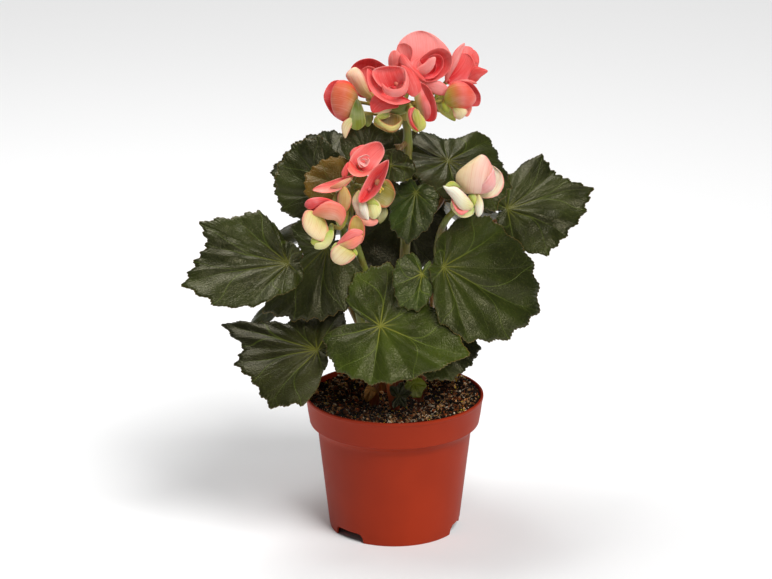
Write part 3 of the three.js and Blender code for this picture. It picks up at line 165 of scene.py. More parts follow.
# Petal colours: inner face and outer face, each as the root, the body and the rim
SCHEMES = {
    "coral": (((216, 20, 32), (240, 92, 88), (244, 120, 112)),
        ((228, 76, 70), (232, 84, 78), (230, 74, 70))),
    "light": (((240, 116, 110), (246, 150, 144), (246, 160, 152)),
        ((240, 130, 124), (244, 146, 140), (240, 120, 114))),
    "deep": (((204, 4, 22), (222, 34, 42), (236, 84, 80)), ((206, 50, 46), (222, 60, 56), (226, 60, 60))),
    "olive": (((190, 60, 40), (226, 74, 68), (222, 40, 46)),
        ((170, 150, 56), (208, 98, 62), (222, 40, 42))),
    "peach": (((226, 120, 96), (238, 110, 100), (226, 50, 52)),
        ((196, 176, 96), (243, 200, 164), (232, 84, 76))),
    "salmon": (((224, 60, 56), (241, 118, 100), (244, 136, 122)),
        ((206, 176, 110), (241, 130, 108), (242, 140, 122))),
    "pink": (((232, 96, 92), (243, 134, 126), (238, 112, 106)),
        ((236, 106, 98), (240, 122, 114), (240, 130, 122))),
    "lime": (((128, 150, 32), (186, 190, 70), (226, 216, 150)),
        ((126, 146, 34), (176, 186, 66), (228, 190, 140))),
    "cream": (((206, 202, 120), (240, 222, 178), (241, 150, 128)),
        ((190, 186, 90), (238, 216, 168), (238, 140, 120))),
    "blush": (((236, 222, 170), (248, 232, 204), (243, 140, 130)),
        ((214, 206, 130), (244, 214, 190), (241, 156, 142))),
    "red_edge": (((160, 150, 50), (206, 160, 90), (224, 40, 50)),
        ((150, 158, 46), (206, 190, 104), (220, 44, 52))),
    "base_lime": (((206, 40, 44), (226, 60, 60), (224, 46, 52)),
        ((160, 166, 44), (222, 88, 70), (222, 40, 42))),
    "bract": (((110, 116, 34), (146, 134, 40), (208, 104, 66)),
        ((104, 110, 36), (140, 132, 44), (206, 110, 70))),
    "green": (((86, 104, 28), (124, 138, 38), (178, 176, 84)),
        ((92, 110, 30), (128, 144, 42), (180, 180, 90))),
    "bowl": (((206, 4, 18), (234, 74, 70), (246, 140, 132)),
        ((214, 60, 60), (238, 100, 96), (246, 146, 138))),
    "dark": (((196, 30, 40), (214, 52, 54), (230, 80, 76)), ((196, 40, 44), (216, 56, 56), (228, 74, 70))),
    "half_lime": (((204, 10, 24), (224, 40, 48), (234, 80, 76)),
        ((200, 198, 104), (232, 96, 88), (226, 52, 54))),
    "olive_shell": (((116, 100, 30), (160, 130, 44), (204, 190, 90)),
        ((150, 150, 50), (178, 176, 70), (214, 150, 110))),
    "lime_shell": (((130, 120, 36), (150, 140, 44), (200, 190, 100)),
        ((176, 180, 70), (192, 188, 82), (210, 198, 112))),
    "beige": (((206, 120, 92), (196, 146, 100), (224, 110, 92)),) * 2,
    "olive_inside": (((196, 150, 90), (204, 178, 84), (234, 92, 88)),
        ((200, 150, 100), (236, 120, 104), (234, 92, 88))),
    "cream_lime": (((140, 166, 44), (214, 210, 130), (238, 222, 164)),
        ((150, 176, 52), (224, 218, 144), (240, 224, 168))),
    "bract_plain": (((90, 100, 30), (122, 124, 38), (140, 130, 50)),
        ((96, 104, 32), (124, 124, 38), (140, 130, 50))),
    "blush_left": (((214, 200, 130), (244, 204, 184), (243, 138, 130)),
        ((232, 206, 156), (244, 198, 178), (243, 142, 132))),
    "rosy": (((243, 150, 142), (245, 172, 164), (243, 184, 172)),) * 2,
    "back_light": (((240, 104, 98), (248, 152, 146), (246, 150, 142)),
        ((240, 130, 124), (244, 150, 143), (240, 120, 114))),
    "bowl_light": (((206, 4, 20), (243, 112, 106), (248, 156, 146)),
        ((230, 90, 84), (238, 112, 104), (246, 140, 130))),
    # Painted shade: an all deep red sheet for the shaded depths inside a flower's cup.
    "deepest": (((206, 2, 16), (214, 8, 24), (224, 50, 52)), ((206, 2, 16), (214, 8, 24), (220, 30, 40))),
    "cream_pink": (((190, 186, 80), (238, 206, 160), (240, 130, 118)),
        ((184, 180, 66), (238, 210, 160), (240, 128, 116))),
    "olive_pink": (((190, 150, 80), (204, 170, 92), (226, 70, 60)),
        ((200, 150, 80), (204, 166, 88), (228, 76, 64))),
    "peachy": (((206, 134, 88), (230, 132, 104), (236, 98, 92)),
        ((214, 140, 94), (230, 126, 98), (234, 88, 82))),
    "white": (((226, 222, 160), (245, 236, 212), (244, 196, 178)),
        ((214, 206, 130), (245, 236, 212), (244, 200, 184))),
}

# Flowers, buds and bracts: the slot, the shoot and the share of its height, the place of the heart, and the
# axis, which like all offsets in a flower is given to the right, up and to the front. Then, where there are
# any: the flower whose petals it has when it looks to the back, the heart's colour, petals that bend back
# behind the others (colours, number, steepness), a coiled middle (offset, size, colours), and lumps such as
# ovaries and stamens (offset, radii, colour). Each petal has its colours, how far its middle stands forward,
# how the root colour fades (0 from root to tip, 1 from the left edge, -1 from the right edge) and its
# outline: the root, left and right points in pairs, and the tip.
STAMEN_OFFSETS = ((0, 0), (1.6, 0.8), (-1.2, 1), (0.6, 2), (-0.4, -1.4))
STAMENS = [((-3 + right, -5 + up, 2), (0.7, 0.7, 0.9), (222, 184, 66)) for right, up in STAMEN_OFFSETS]
Flower = namedtuple(
    "Flower", "name slot shoot share at axis like heart behind coil spots petals",
    defaults=(None, (170, 170, 70), None, None, (), None),
)
FLOWERS = [
    Flower("flower_top_left", "petal", "shoot_centre", 0.97, (-29, -18, 325.1), (-0.9, 0.1, 0.1),
           heart=(186, 150, 76), behind=("coral", 4),
           spots=[((2, -2, 0), (3.4, 3, 4), (186, 160, 80))], petals=[
        ("dark", -3, 0, [(2.8, -0.9, -5), (-0.7, 7.7, -5, -1.5, -15.6, -5),
            (-8.1, 14.4, -4, -8.8, -14.6, -4), (-16.2, 13.2, -3, -16.2, -8, -2), (-20.9, 3.7, -1)]),
        ("olive", 6, 0, [(2.8, 0.3, 1), (2, 8.7, 2, -1.5, -11.6, 2), (-3.8, 15.9, 4, -6.9, -12.3, 4),
            (-11.9, 15.5, 4, -13.1, -8.5, 4), (-15.8, 3.7, 4)]),
    ]),
    Flower("flower_top_back_left", "petal", "shoot_centre", 0.98, (-17.6, 2, 324), (-0.35, 0.9, -0.1),
           behind=("coral", 6), spots=[((1, -1, 0), (4.2, 3.4, 4.4), (176, 146, 74))], petals=[
        ("dark", -5, 0, [(3.1, -0.5, -6), (-10.9, 3.3, -7, 14, 6, -6), (-14, 17.3, -4, 15.1, 16.5, -4),
            (-8.9, 25.1, -1, 8.9, 23.4, -2), (0.4, 27.5, 0)]),
        ("coral", -2, 0, [(1.5, 0.6, 0), (-4.7, 7.5, 1, 5.4, 7.5, 1), (-6.8, 17.5, 2, 5.4, 19.2, 2),
            (-1.6, 22.5, 3)]),
        ("peach", 4, 0, [(1.5, -1.2, 2), (-7.8, 2.4, 3, -0.8, 6.3, 5), (-14.7, 12, 5, -3.1, 13.9, 6),
            (-16.8, 17.3, 5, -5.6, 19.2, 6), (-10.8, 22.3, 5)]),
        ("dark", 1, 0, [(-1.6, -0.9, -1), (-7, -0.4, 0, -4.7, 5, 1), (-10.9, 4.2, 1, -8.5, 8.6, 2),
            (-13.2, 9.5, 1)]),
    ]),
    Flower("flower_top_front", "petal", "shoot_centre", 1, (-2.1, -28, 341.1), (0, 0.15, 1),
           heart=(190, 60, 48), behind=("coral", 7), spots=[((6.5, 0.5, 1), (1.6, 1.6, 1.6), (206, 84, 60)),
           ((2.9, 0.6, 3), (1.6, 1.6, 1.6), (214, 110, 84)),
           ((1.3, -2.4, 3.4), (2.2, 1.8, 1.8), (206, 30, 36))], petals=[
        ("coral", -2, -1, [(-16.5, 11.4, 4), (-17.5, 7.2, 8, -10.3, 6.1, 2),
            (-15.5, -1.1, 10, -6.4, -3.2, 1), (-9.5, -7.6, 11, -1, -7.7, 2), (2.1, -12.6, 11, 5.9, -8.2, 3),
            (12.9, -11.5, 6)]),
        ("bowl", -5.5, 0, [(3.2, 0.3, 3), (-5.6, -2, 7, 8.6, 3.2, 7), (-12.7, 5.9, 9, 9.9, 10, 9),
            (-12.6, 11.7, 8, 7.1, 13.2, 7), (-3.3, 13.9, 7)]),
        # A sheet of painted shade deep in the bowl, over the heart.
        ("deepest", -1, 0, [(4.5, -0.7, 3.5), (0.5, 2.4, 2, 8.9, 3.3, 6), (2.1, 8.5, 2, 8.4, 9.5, 5),
            (5.8, 11.2, 4)]),
        ("pink", 1.5, 0, [(-7, 1.9, 9), (-3.3, -0.5, 10.5, -4.9, -5.4, 9), (2.8, -1.5, 12, 2.8, -7.4, 10),
            (7.6, 0.6, 12, 9.9, -4.3, 10), (9.6, 6.2, 10, 11.7, 4, 8), (9.4, 11.3, 8)]),
        ("coral", 2, 0, [(6.6, 13.3, 3), (8.6, 5.9, 4, 13.7, 10, 4), (9.4, -1.6, 6, 19.7, 2.5, 6),
            (11.7, -6.1, 7, 20, -3.7, 7), (15.6, -7.7, 7)]),
        ("deep", 1, 0, [(2.9, -13.1, -2), (-4.9, -8.4, 0, 4.4, -17.4, 0), (-11.1, -7, 3, -4.1, -18, 3),
            (-15.1, -12, 4, -9.1, -19.7, 4), (-14, -19.3, 4)]),
        ("cream", 1, 0, [(-0.2, -17.2, -2), (-6.4, -18.6, 0, -1.8, -20.6, 0), (-12.6, -21.2, 2)]),
    ]),
    Flower("flower_top_crown", "petal", "shoot_centre", 1, (13.4, -4, 343), (0, 0.3, 0.9),
           heart=(220, 90, 80), behind=("light", 7, 0.28), petals=[
        ("back_light", -2, 0, [(1.2, 0.4, -3), (-8.2, 6.2, -5, 11.2, 6.2, -5),
            (-12.4, 13.7, -6, 26.4, 7.5, -5), (-9.2, 21.2, -8, 23.8, 16.2, -7),
            (-2, 26.1, -10, 14.4, 24.4, -10), (5.4, 27.4, -10.5)]),
        ("deep", -2, 0, [(4.6, -6.7, -1), (4.3, 2.3, -2, 17, -4.4, 0), (8.5, 8, -2, 20.9, 3.8, 0),
            (15.9, 10.8, -1)]),
        ("pink", -2, 0, [(-3.5, 7, 0), (-8.9, 11, 1, -1.2, 12.2, 1), (-11.6, 17.8, 2, -1.3, 17.8, 2),
            (-10.1, 21.3, 3, -3.9, 21, 3), (-7, 21.7, 3)]),
        ("pink", 2, 0, [(-7.8, 1.6, 1), (-16.3, 1.6, 1, -7.7, 8.5, 2), (-18, 9.6, 3, -9.3, 12.8, 4),
            (-16.3, 14.9, 3, -10.8, 15.5, 4), (-13.5, 16.7, 4)]),
        ("coral", -3, -1, [(4.6, 9.8, 1), (12, 16.8, 3, 7.3, 5.1, -1), (20.5, 18.6, 4, 13.6, 8, -2),
            (26.8, 12.4, 4, 17, 4.8, -2), (24.7, 2.5, 6, 14.3, -1.9, 0), (15, -4.2, 8, 8.1, -4.2, 3),
            (4.2, -5, 6)]),
        ("deep", -2, -1, [(8.5, 8.1, 2), (13.5, 13.8, 3.5, 10.4, 5.7, 1), (19.7, 12.5, 4.5, 15.1, 5.7, 1),
            (20.5, 5.7, 6, 14.3, 0.3, 2), (14.3, -1.8, 8, 9.6, -1.4, 4), (6.5, -2.9, 7)]),
        ("light", 1.5, 0, [(-0.2, 2.5, 5), (3.1, 5.2, 7, 2.7, 0, 6), (7.3, 8.6, 8, 8.5, 0.3, 7),
            (11.2, 12.2, 8, 13.5, 5.1, 8), (15.2, 12.4, 8)]),
        ("coral", 2, 0, [(-9.3, 14, 4), (-10.1, 8.6, 5, -5, 11.9, 5), (-5.8, 2.8, 7, -0.4, 6, 7),
            (1.1, -3, 8, 4.6, 1.1, 8), (8.1, -4.6, 8)]),
        ("light", 1, 0, [(5, -5.4, 3), (10, -5.8, 5, 10.4, -10.5, 5), (16.6, -4.5, 6, 15, -14.3, 6),
            (22.4, -7.7, 6, 21.2, -15.2, 6), (24.9, -12.6, 6)]),
    ]),
    Flower("flower_top_back", "petal", "shoot_centre", 0.96, (9, 17, 329), (0.1, 0.45, -0.9),
           like="flower_top_crown"),
    Flower("flower_top_right", "petal", "shoot_centre", 0.99, (37.6, 4, 335.2), (0.6, 0.7, 0.2),
           heart=(222, 84, 76), behind=("coral", 5), petals=[
        ("coral", -2, 0, [(-0.8, -2.4, 0), (1.2, 8.6, -1, 13.2, -1.6, 0), (5.1, 17.3, -2, 19.2, 2.9, -1),
            (10, 19.8, -3, 19.4, 11.2, -2), (15.4, 17.4, -3)]),
        ("light", 1.5, 0, [(-1.5, -1.7, 1), (-1.9, 6.3, 2, 1.6, 3.9, 2), (1.8, 15.6, 3, 6.1, 11.6, 3),
            (4.9, 22.5, 3, 8.9, 18.9, 3), (11.5, 27.6, 3)]),
        ("coral", 1, 0, [(14.7, 0.5, -1), (18.6, 9.6, 0, 19.4, -1.6, 0), (24, 9.1, 1, 23.6, 2.9, 1),
            (28, 6.8, 1)]),
        ("pink", 1, 0, [(1.6, -2.8, -1), (9.3, 0.4, 0, 8.5, -4.4, -1), (16.3, 0, 0, 16.3, -2.8, 0),
            (20.5, -2.1, 1)]),
    ]),
    Flower("flower_top_low_right", "petal", "shoot_centre", 0.97, (38.1, -12, 324.7), (0.95, 0.1, 0.1),
           behind=("coral", 5), spots=[((-2, -4, 0), (4, 3.4, 5), (170, 178, 62))], petals=[
        ("dark", -2, 0, [(-1.4, 1.3, -4), (-1.2, 8.2, -4, 8, -7, -4), (5.5, 13.1, -3, 16, -5.3, -3),
            (16, 12.2, -1, 21.4, -3.8, -1), (21.9, 4.1, 0)]),
        ("base_lime", 5, 0, [(-3.5, 0.2, 2), (-0.8, 10.4, 3, 3.7, -5.9, 4), (5.5, 14.9, 5, 10.2, -5.3, 6),
            (12.7, 12.7, 5, 16.3, -2.4, 6), (18.8, 3.5, 4)]),
        ("cream", 2.5, 0, [(3, -3.7, 4), (3.1, -7.1, 5, 10.5, -3.8, 6), (3.9, -10.8, 5, 12.9, -7.2, 6),
            (8, -12.4, 5)]),
        ("salmon", 1, 0, [(7.3, -2.4, 1), (7.3, -7.7, 1, 16, -3.9, 1), (13.1, -11.2, 2)]),
    ]),
    Flower("flower_top_hanging", "petal", "shoot_centre", 0.96, (15.3, -19, 323),
           (0.75, -0.3, 0.4), petals=[
        ("half_lime", 3, 1, [(6.1, -10.1, 2), (1, -2.6, 5, 9.7, -5.3, 6), (-1.7, 6.4, 6, 9.4, 1.8, 8),
            (-0.9, 14.4, 6, 5.3, 10.1, 8), (0.8, 18.8, 6)]),
        ("coral", -2, 0, [(7.5, -11.7, 0), (5.3, -9.2, 0, 12.8, -10.1, 3), (4.3, -1.6, 0, 14.3, -2.7, 6),
            (3.5, 7.8, 1, 11.6, 8.7, 6), (2.5, 14.2, 2, 7, 15.3, 5), (1.2, 17.7, 4)]),
    ]),
    Flower("bud_top_left", "pale_petal", "shoot_centre", 0.95, (-6.3, -24, 316.3), (0.1, -1, 0.2), petals=[
        ("olive_shell", -3, 0, [(0.6, 1.8, -1), (-6.8, -0.3, 0, 10.2, 0.1, 0),
            (-8.5, -4.9, 2, 11.5, -4.1, 2), (-3.7, -8.3, 3, 8.7, -8.8, 3), (3.3, -11, 3)]),
        ("red_edge", 1.5, 0, [(-8, -2.2, 3), (-6.4, 0.4, 3.5, -6, -5.5, 4),
            (-1.4, -3.9, 4, -1.4, -7.5, 5.5), (4.8, -5.6, 5, 3.6, -9.9, 5.5), (9.1, -3.5, 4, 8.7, -8, 4),
            (10.8, -2.2, 3)]),
        ("lime", 2, 0, [(0.9, 3.7, 1), (-5.2, 2, 2, 2.5, -0.1, 2), (-8, -2.2, 3)]),
        ("green", 1, 0, [(17.2, 10.2, -4), (6.4, 7.8, -4, 14.9, 2.1, -4), (-1.4, 3.7, -4, 5.6, -1.2, -4),
            (-6, -2, -4)]),
        ("bract", 1, 0, [(19.6, 9.6, -6), (6.4, 6.3, -6, 21.1, 1.4, -6), (7.2, 0.9, -5, 18, -3.2, -5),
            (11.8, -4, -5)]),
    ]),
    Flower("bud_top_right", "pale_petal", "shoot_centre", 0.95, (11.8, -32, 320.1), (0.1, -1, 0.1), petals=[
        ("lime_shell", 3, 0, [(-0.5, 5.3, 0), (-3.4, -0.5, 1, 4.5, 2, 1), (-2.7, -5.9, 2, 9.4, -4.2, 2),
            (0.6, -11.1, 2, 9.4, -9.5, 2), (4.5, -12.5, 2)]),
        ("deep", 1, 0, [(1.8, 5.5, 4), (-1.9, 4.5, 4, 1, 3.7, 5), (-2.4, 0.2, 5.5, -0.4, -0.5, 6),
            (-0.5, -7.1, 5.5, 1.6, -6.2, 6), (4.5, -11.5, 4)]),
        ("olive_shell", 1, 0, [(1, 4.5, 4), (0.3, 0, 5, 5.3, 2.9, 4), (2.2, -5.7, 5, 6.4, -3.3, 5),
            (5.3, -9.7, 4)]),
    ]),
    Flower("flower_mid_upper", "petal", "shoot_front", 1, (-24.4, -56, 289.6), (0.1, 0.3, 0.95),
           heart=(214, 40, 44), behind=("coral", 6), coil=((3.2, 3.6, 0.5), 4.6, "rosy"), petals=[
        ("bowl_light", -4.5, 0, [(-0.7, -2.9, 0), (-7.5, 0.2, 0, 7.3, -6.2, 3),
            (-4.8, 7.7, -2, 12, -0.4, 1), (1.8, 12.7, -4, 16, 5.3, -2), (8.7, 15.2, -5, 17.1, 9.7, -4),
            (14.2, 14.7, -5.5)]),
        ("salmon", -2, -1, [(-7.2, 3.6, 3), (-8.4, -0.9, 6, -4.1, 1.2, 1), (-4.8, -4.9, 8, -0.7, -3.2, 1),
            (1.1, -5.7, 9, 2.3, -4.4, 2), (6.4, -4.1, 8, 5.8, -2.8, 2), (10, -0.9, 5)]),
        ("coral", 1.5, 0, [(-8.1, 2.8, 3), (-10.9, -0.3, 4, -7.9, -1.3, 4), (-12.6, -4.7, 4, -8.5, -5.9, 3),
            (-11.2, -7.7, 3)]),
    ]),
    Flower("flower_mid_right", "petal", "shoot_front", 0.98, (-18.1, -66, 275.3), (0.3, 0.1, 0.9),
           heart=(200, 40, 44), spots=[((6, 5, 1), (2.2, 1.6, 2.6), (160, 96, 50))], petals=[
        # A sheet of painted shade at the back of the bowl that the next two petals form.
        ("deepest", 0, 0, [(-5.3, -9.4, -1.5), (-5.3, -3.6, -2, -1.2, -4.9, -2),
            (-1.2, 4.9, -2.5, 4.1, 1.2, -2.5), (4.2, 12.9, -3, 8.9, 7.9, -3), (12.2, 17.4, -2.5)]),
        ("bowl", -2, -1, [(-6.2, -8.8, 3), (-7.2, -4.2, 4, -2.4, -5.8, 1), (-3.1, 5.8, 6, 1.8, -0.2, -1),
            (2.4, 15.9, 7, 5.3, 6.7, -1), (9.1, 21.2, 8, 10.1, 14.5, 2), (13.6, 22.3, 6)]),
        ("bowl", -2, -1, [(-5.9, -9, 3), (-1.2, -6.9, 6, -3, -5.8, 1), (5.9, -0.4, 8, 1.2, -1.4, -1),
            (10.1, 7.4, 8, 5, 5.4, -1), (13.1, 16.4, 8, 10.1, 13.2, 2), (13.6, 22.1, 6)]),
    ]),
    Flower("flower_mid_left", "petal", "shoot_front", 0.97, (-44.5, -58, 274.3), (-0.2, 0.95, 0.25),
           heart=(206, 60, 50), petals=[
        ("salmon", -2, -1, [(-12.5, -1.3, 2), (-7.9, -2.1, 6, -7.9, 2, 1), (-0.8, -1.9, 7, -0.8, 4.2, 0),
            (6.6, 0.1, 6, 6.9, 7, 0), (12.2, 3.8, 4, 12.3, 8.2, 0), (15.8, 8.4, 1)]),
        ("beige", 1, 0, [(-0.8, 1, 5), (4, 4.3, 5.5, 5.1, 0.9, 6.5), (9.9, 6.9, 4, 11.3, 4.1, 5),
            (15.7, 8, 2)]),
    ]),
    Flower("flower_low_left", "petal", "shoot_front", 0.88, (-43.7, -72, 250.9), (-0.8, 0.5, 0.2), petals=[
        ("dark", 2, 0, [(-18.5, 15.2, 3), (-16.6, 19.2, 3, -15.1, 12.9, 4), (-10.9, 21, 3, -9.2, 14.6, 4),
            (-3.8, 20.4, 3, -2.7, 17.4, 3), (2.1, 17.6, 3)]),
        ("deep", -1, 0, [(-14.5, 11.4, 1), (-11.5, 17.1, 1, -10.4, 11.4, 1), (-6.2, 18, 1, -5.6, 13.9, 1),
            (-1.5, 17.7, 1)]),
        ("peachy", 3, -1, [(-13.8, 9.3, 5), (-9.2, 15.4, 6, -8.6, 8.4, 7), (-1.5, 19.9, 7, -3.2, 6.7, 8),
            (6.8, 16.8, 7, 1.5, 5.9, 7), (9.9, 9.9, 6, 4.1, 4, 6), (6.5, 1.5, 5)]),
        ("cream_pink", 4, 0, [(-6.8, 7.4, 3), (-16.3, 12.4, 4, -2.7, -0.3, 3),
            (-20.2, 7.8, 6, -2.4, -8.1, 4), (-19.7, 1, 7, -7.4, -9.6, 6), (-14.8, -5.4, 7)]),
        ("cream_lime", 1.5, 0, [(-0.3, -2.2, 3), (-4.4, -4.7, 5, 1.4, -5.3, 5),
            (-6.5, -9.9, 6, -0.9, -11.5, 6), (-11.2, -11.2, 6, -5.6, -15.2, 6), (-11.6, -15.2, 5)]),
        ("lime", 1.5, 0, [(-6.2, -9.7, 3), (-10.3, -6.4, 5, -8.6, -11.8, 5),
            (-13.3, -7.5, 5, -12.1, -13.1, 5), (-14.4, -10.6, 5)]),
        ("green", 1, 0, [(-0.3, 0.9, 1), (-3.8, -3.5, 3, 1.5, -2.8, 3), (-0.3, -10, 3)]),
    ]),
    Flower("flower_low_centre", "pale_petal", "shoot_front", 0.86, (-32.6, -76, 237),
           (-0.2, 0.2, 0.9), petals=[
        ("olive_inside", -3, 0, [(0.1, 0, 0), (0.1, 8.1, 0, 9.3, 2.9, 2), (0.8, 15.9, 1, 11.8, 11, 3),
            (3, 20.9, 1, 10.7, 18.1, 2), (6.3, 22.6, 2)]),
        ("pink", 2, 0, [(-7.6, 2.5, 4), (-2.8, 9.4, 5, -1.7, 4.2, 6), (2.5, 13.9, 5, 3.7, 6.7, 6),
            (8.1, 13.5, 5, 7.8, 8.8, 6), (10.5, 11.3, 4)]),
        ("salmon", 2, 0, [(-6.4, 2.4, 5), (-1.7, 5.4, 7, -2.2, 1.4, 7), (3.7, 8.1, 7.5, 3.1, 0.5, 8),
            (8.1, 9.8, 6, 7.5, 3.3, 7), (10.3, 8.5, 5)]),
        ("cream_pink", 4, 0, [(0.7, 0.1, 3), (-5.8, 3, 5, 5.3, -5.2, 5), (-11.1, -0.5, 6, 1.3, -9.7, 6),
            (-11.9, -5.5, 6, -4, -11.7, 6), (-9.3, -9.8, 6)]),
        ("lime", 1.5, 0, [(0.1, -0.5, 2), (4.6, 0.1, 4, 2.5, -6.7, 4), (6.6, -4.6, 4)]),
        ("lime", 1, 0, [(-4.6, 1.9, 2), (-8.8, 3.2, 3, -8.2, -2.1, 3), (-11.8, -1.8, 4)]),
    ]),
    Flower("flower_low_right", "pale_petal", "shoot_front", 0.94, (-16.7, -60, 261.1),
           (-0.3, -0.6, 0.4), petals=[
        ("blush", 2, 0, [(-8.3, 11.8, 1), (-12.4, 6.8, 2, -6.5, 6.8, 2), (-12.6, 1.6, 3, -5.6, 1.3, 4),
            (-8.9, -5.6, 4, -2.7, -5.9, 5), (-3.9, -10.8, 4)]),
        ("white", 1.5, 0, [(-6.8, 5.9, 4), (-8.5, 1.9, 6, -3.9, 5.3, 6), (-6.8, -3.6, 7, -1.8, -0.9, 7),
            (-1.8, -8.3, 6)]),
        ("cream_lime", 3, 0, [(-1.5, 5, 2), (-3.2, 1.3, 4, 4.7, 5, 4), (-1.8, -4.6, 6, 7.2, -1.2, 6),
            (2.9, -7.4, 6)]),
        ("lime", 1.5, 0, [(-3.9, 5.9, 4), (-1.5, 8.1, 5, -1.8, 3.2, 6), (2.6, 6.7, 5.5, 2, 2.7, 6.5),
            (5.9, 1.9, 6)]),
        ("salmon", 1.5, 0, [(-10.4, -4, 3), (-6.5, -6.5, 4, -7.7, -9.9, 5), (-2.1, -7.7, 5, -2.1, -12.4, 6),
            (2, -6.8, 4, 2.9, -12.1, 5), (4.9, -9.6, 4)]),
    ]),
    Flower("bract_right", "bract", "shoot_front", 0.96, (-7, -44, 273.6), (0, 0.2, 0.95),
           heart=(140, 120, 36), spots=STAMENS, petals=[
        ("bract", -2, 0, [(-7.4, -4.7, -1), (-2.6, 1.7, 0, -7.9, -12.8, 0), (3, 1.9, 0, -2.6, -17.5, 1),
            (6.7, -4.7, 0, 2.7, -16.8, 1), (6.7, -10.3, 1)]),
        ("bract_plain", 1, 0, [(-1.4, -17.8, -4), (-5.3, -22.8, -4, 1.8, -21, -4),
            (-5, -27.8, -3, 1.4, -25.3, -3), (-3.2, -30.5, -3)]),
    ]),
    Flower("bract_left", "bract", "shoot_front", 0.92, (-38, -60, 258.6), (0, 0.2, 0.9), petals=[
        ("olive_pink", 2, 0, [(2.3, -1.7, 0), (-1, 2.9, 1, 5.8, 1, 1), (-2, 9.4, 2, 7.8, 8.2, 2),
            (0.1, 15, 2, 5.8, 14.4, 2), (2.5, 17.8, 2)]),
        ("bract_plain", 1, 0, [(0.2, 0.6, -2), (-5.4, 5, -2, -1, 6.9, -2), (-3, 11.9, -2)]),
        ("green", 1, 0, [(0.8, -1.9, -2), (-3.3, -6.2, -2, 4.4, -8.1, -2), (-0.4, -15.6, -2)]),
    ]),
    Flower("bract_top_left", "bract", "shoot_centre", 0.93, (-23, -25, 318.6), (-0.8, 0.1, 0.3), petals=[
        ("green", 1.5, 0, [(-3.3, 10.2, 0), (-6.9, 4, 1, 0.4, 4.8, 1), (-8.9, -3, 2, 2.4, -3, 2),
            (-8.3, -9.1, 2, 2.1, -7.8, 1), (-3.3, -11.5, 2)]),
        ("cream", 1, 0, [(-6, -2.2, 2), (-12.6, -4.7, 3, -7.5, -8.3, 3), (-14.3, -10, 3, -9.7, -13.6, 3),
            (-12, -17, 3)]),
        ("green", 1, 0, [(1, 0, -4), (-0.6, -4.1, -4, 8, -3.3, -4), (4.1, -10.3, -3)]),
    ]),
    Flower("bract_top_right", "bract", "shoot_centre", 0.95, (32, -1, 314.6), (0.9, 0, 0.2),
           heart=(136, 150, 46), petals=[
        ("lime", 1, 0, [(-3.6, 9.9, -4), (-1.2, 13.9, -4, -3.6, -0.7, -4), (5.7, 13.9, -4, 3.4, -2.4, -4),
            (10.4, 4.1, -4)]),
        ("lime", 1.5, 0, [(1.1, 12, -1), (-2.2, 5.8, 1, 6.9, 9, 1), (-0.5, -0.8, 2, 9.4, 0.8, 2),
            (10.6, -7.3, 2)]),
        ("green", 1, 0, [(1.9, 10, -1), (-3.6, 7.6, -1, 2.6, 3.5, -1), (-3.6, -1.1, 0)]),
    ]),
    Flower("flower_right", "pale_petal", "shoot_right", 1, (56.5, -32, 262.2), (0.1, 0.9, 0.2),
           behind=("blush", 5), spots=[((1, -3, -1), (3.2, 3, 4.6), (168, 176, 60))], petals=[
        ("blush", -1, 0, [(0.7, -0.1, -1), (1.9, 3.5, -1, 6.5, -3.2, 1), (4.6, 10.5, -2, 15.4, -0.8, 3),
            (8.1, 19, -1, 20, 6.5, 3), (11.2, 20.4, -1, 19.1, 14.3, 2), (14.8, 18.9, 1)]),
        ("blush_left", 7, 1, [(-1.2, 0.7, 1), (-7, 1.2, 3, 5, 0.8, 3), (-12.6, 7.9, 5, 11.5, 4.7, 5),
            (-13.7, 15.2, 5, 14.3, 12, 5), (-8.2, 21.1, 4, 11.7, 20.6, 4), (0.1, 27, 3, 8.2, 27, 3),
            (4.2, 29.1, 3)]),
        ("rosy", 1.5, 0, [(-0.5, 1.9, 5), (2.6, 7.3, 9.5, 5.9, 1.9, 6), (6.5, 12.4, 11.5, 11.3, 4.5, 7.5),
            (9.9, 17.3, 11.5, 14.1, 9.5, 7.5), (12.7, 19.4, 8)]),
        ("lime", 2, 0, [(-0.5, 3.9, 0), (-2.8, 0.1, 1, 2.6, 0.1, 1), (-1.2, -4.4, 1, 2.2, -4.4, 1),
            (0.5, -7, 1)]),
    ]),
    Flower("flower_right_low", "pale_petal", "shoot_right", 0.97, (54, -38, 253.1),
           (-0.4, -0.7, 0.3), petals=[
        ("white", 2.5, 0, [(1.1, 2.6, 3), (-1.1, 7.1, 5, -1.8, 0.7, 6), (-5.7, 13.1, 6, -7.8, 1.2, 7),
            (-11.1, 17.4, 6, -14.2, 9.4, 6), (-16.1, 17, 5, -17.9, 14, 5), (-20.1, 17.7, 5)]),
        ("cream_lime", 2, 0, [(1.6, 1.2, 0), (-2.6, 2.8, 0, 1.3, -3.6, 1), (-9.6, 4.8, 1, -2.6, -5.5, 3),
            (-14.5, 5.9, 2, -8, -5.2, 4), (-13.6, 0.1, 4)]),
        ("pink", 1, 0, [(-14.3, 8.5, 5), (-13.2, 4.4, 6, -12.3, 4.9, 5), (-11.1, 0, 7, -9.2, 1.2, 5),
            (-7.2, -2.7, 7.5, -4.9, 0.5, 6), (-2.4, 0.1, 6)]),
        ("lime", 1.5, 0, [(-8, 15.7, 2), (-12.3, 20.3, 3, -11.1, 16.3, 4), (-16.1, 20.1, 3, -16.5, 16.3, 4),
            (-18.8, 17, 4)]),
        ("white", 2.5, 0, [(4.6, 10.2, 0), (3, 5.2, 1, 7.3, 6.8, 1), (2.5, 1, 2, 8.2, 2.3, 2),
            (3.2, -4, 2, 7.5, -2.8, 2), (5.1, -5.3, 2)]),
        ("lime", 1.5, 0, [(-0.3, 10.7, -1), (-2.6, 8.5, 0, 2.8, 9.8, 0), (-0.3, 4.8, 1, 3.6, 5.2, 1),
            (2, 1.9, 1)]),
    ]),
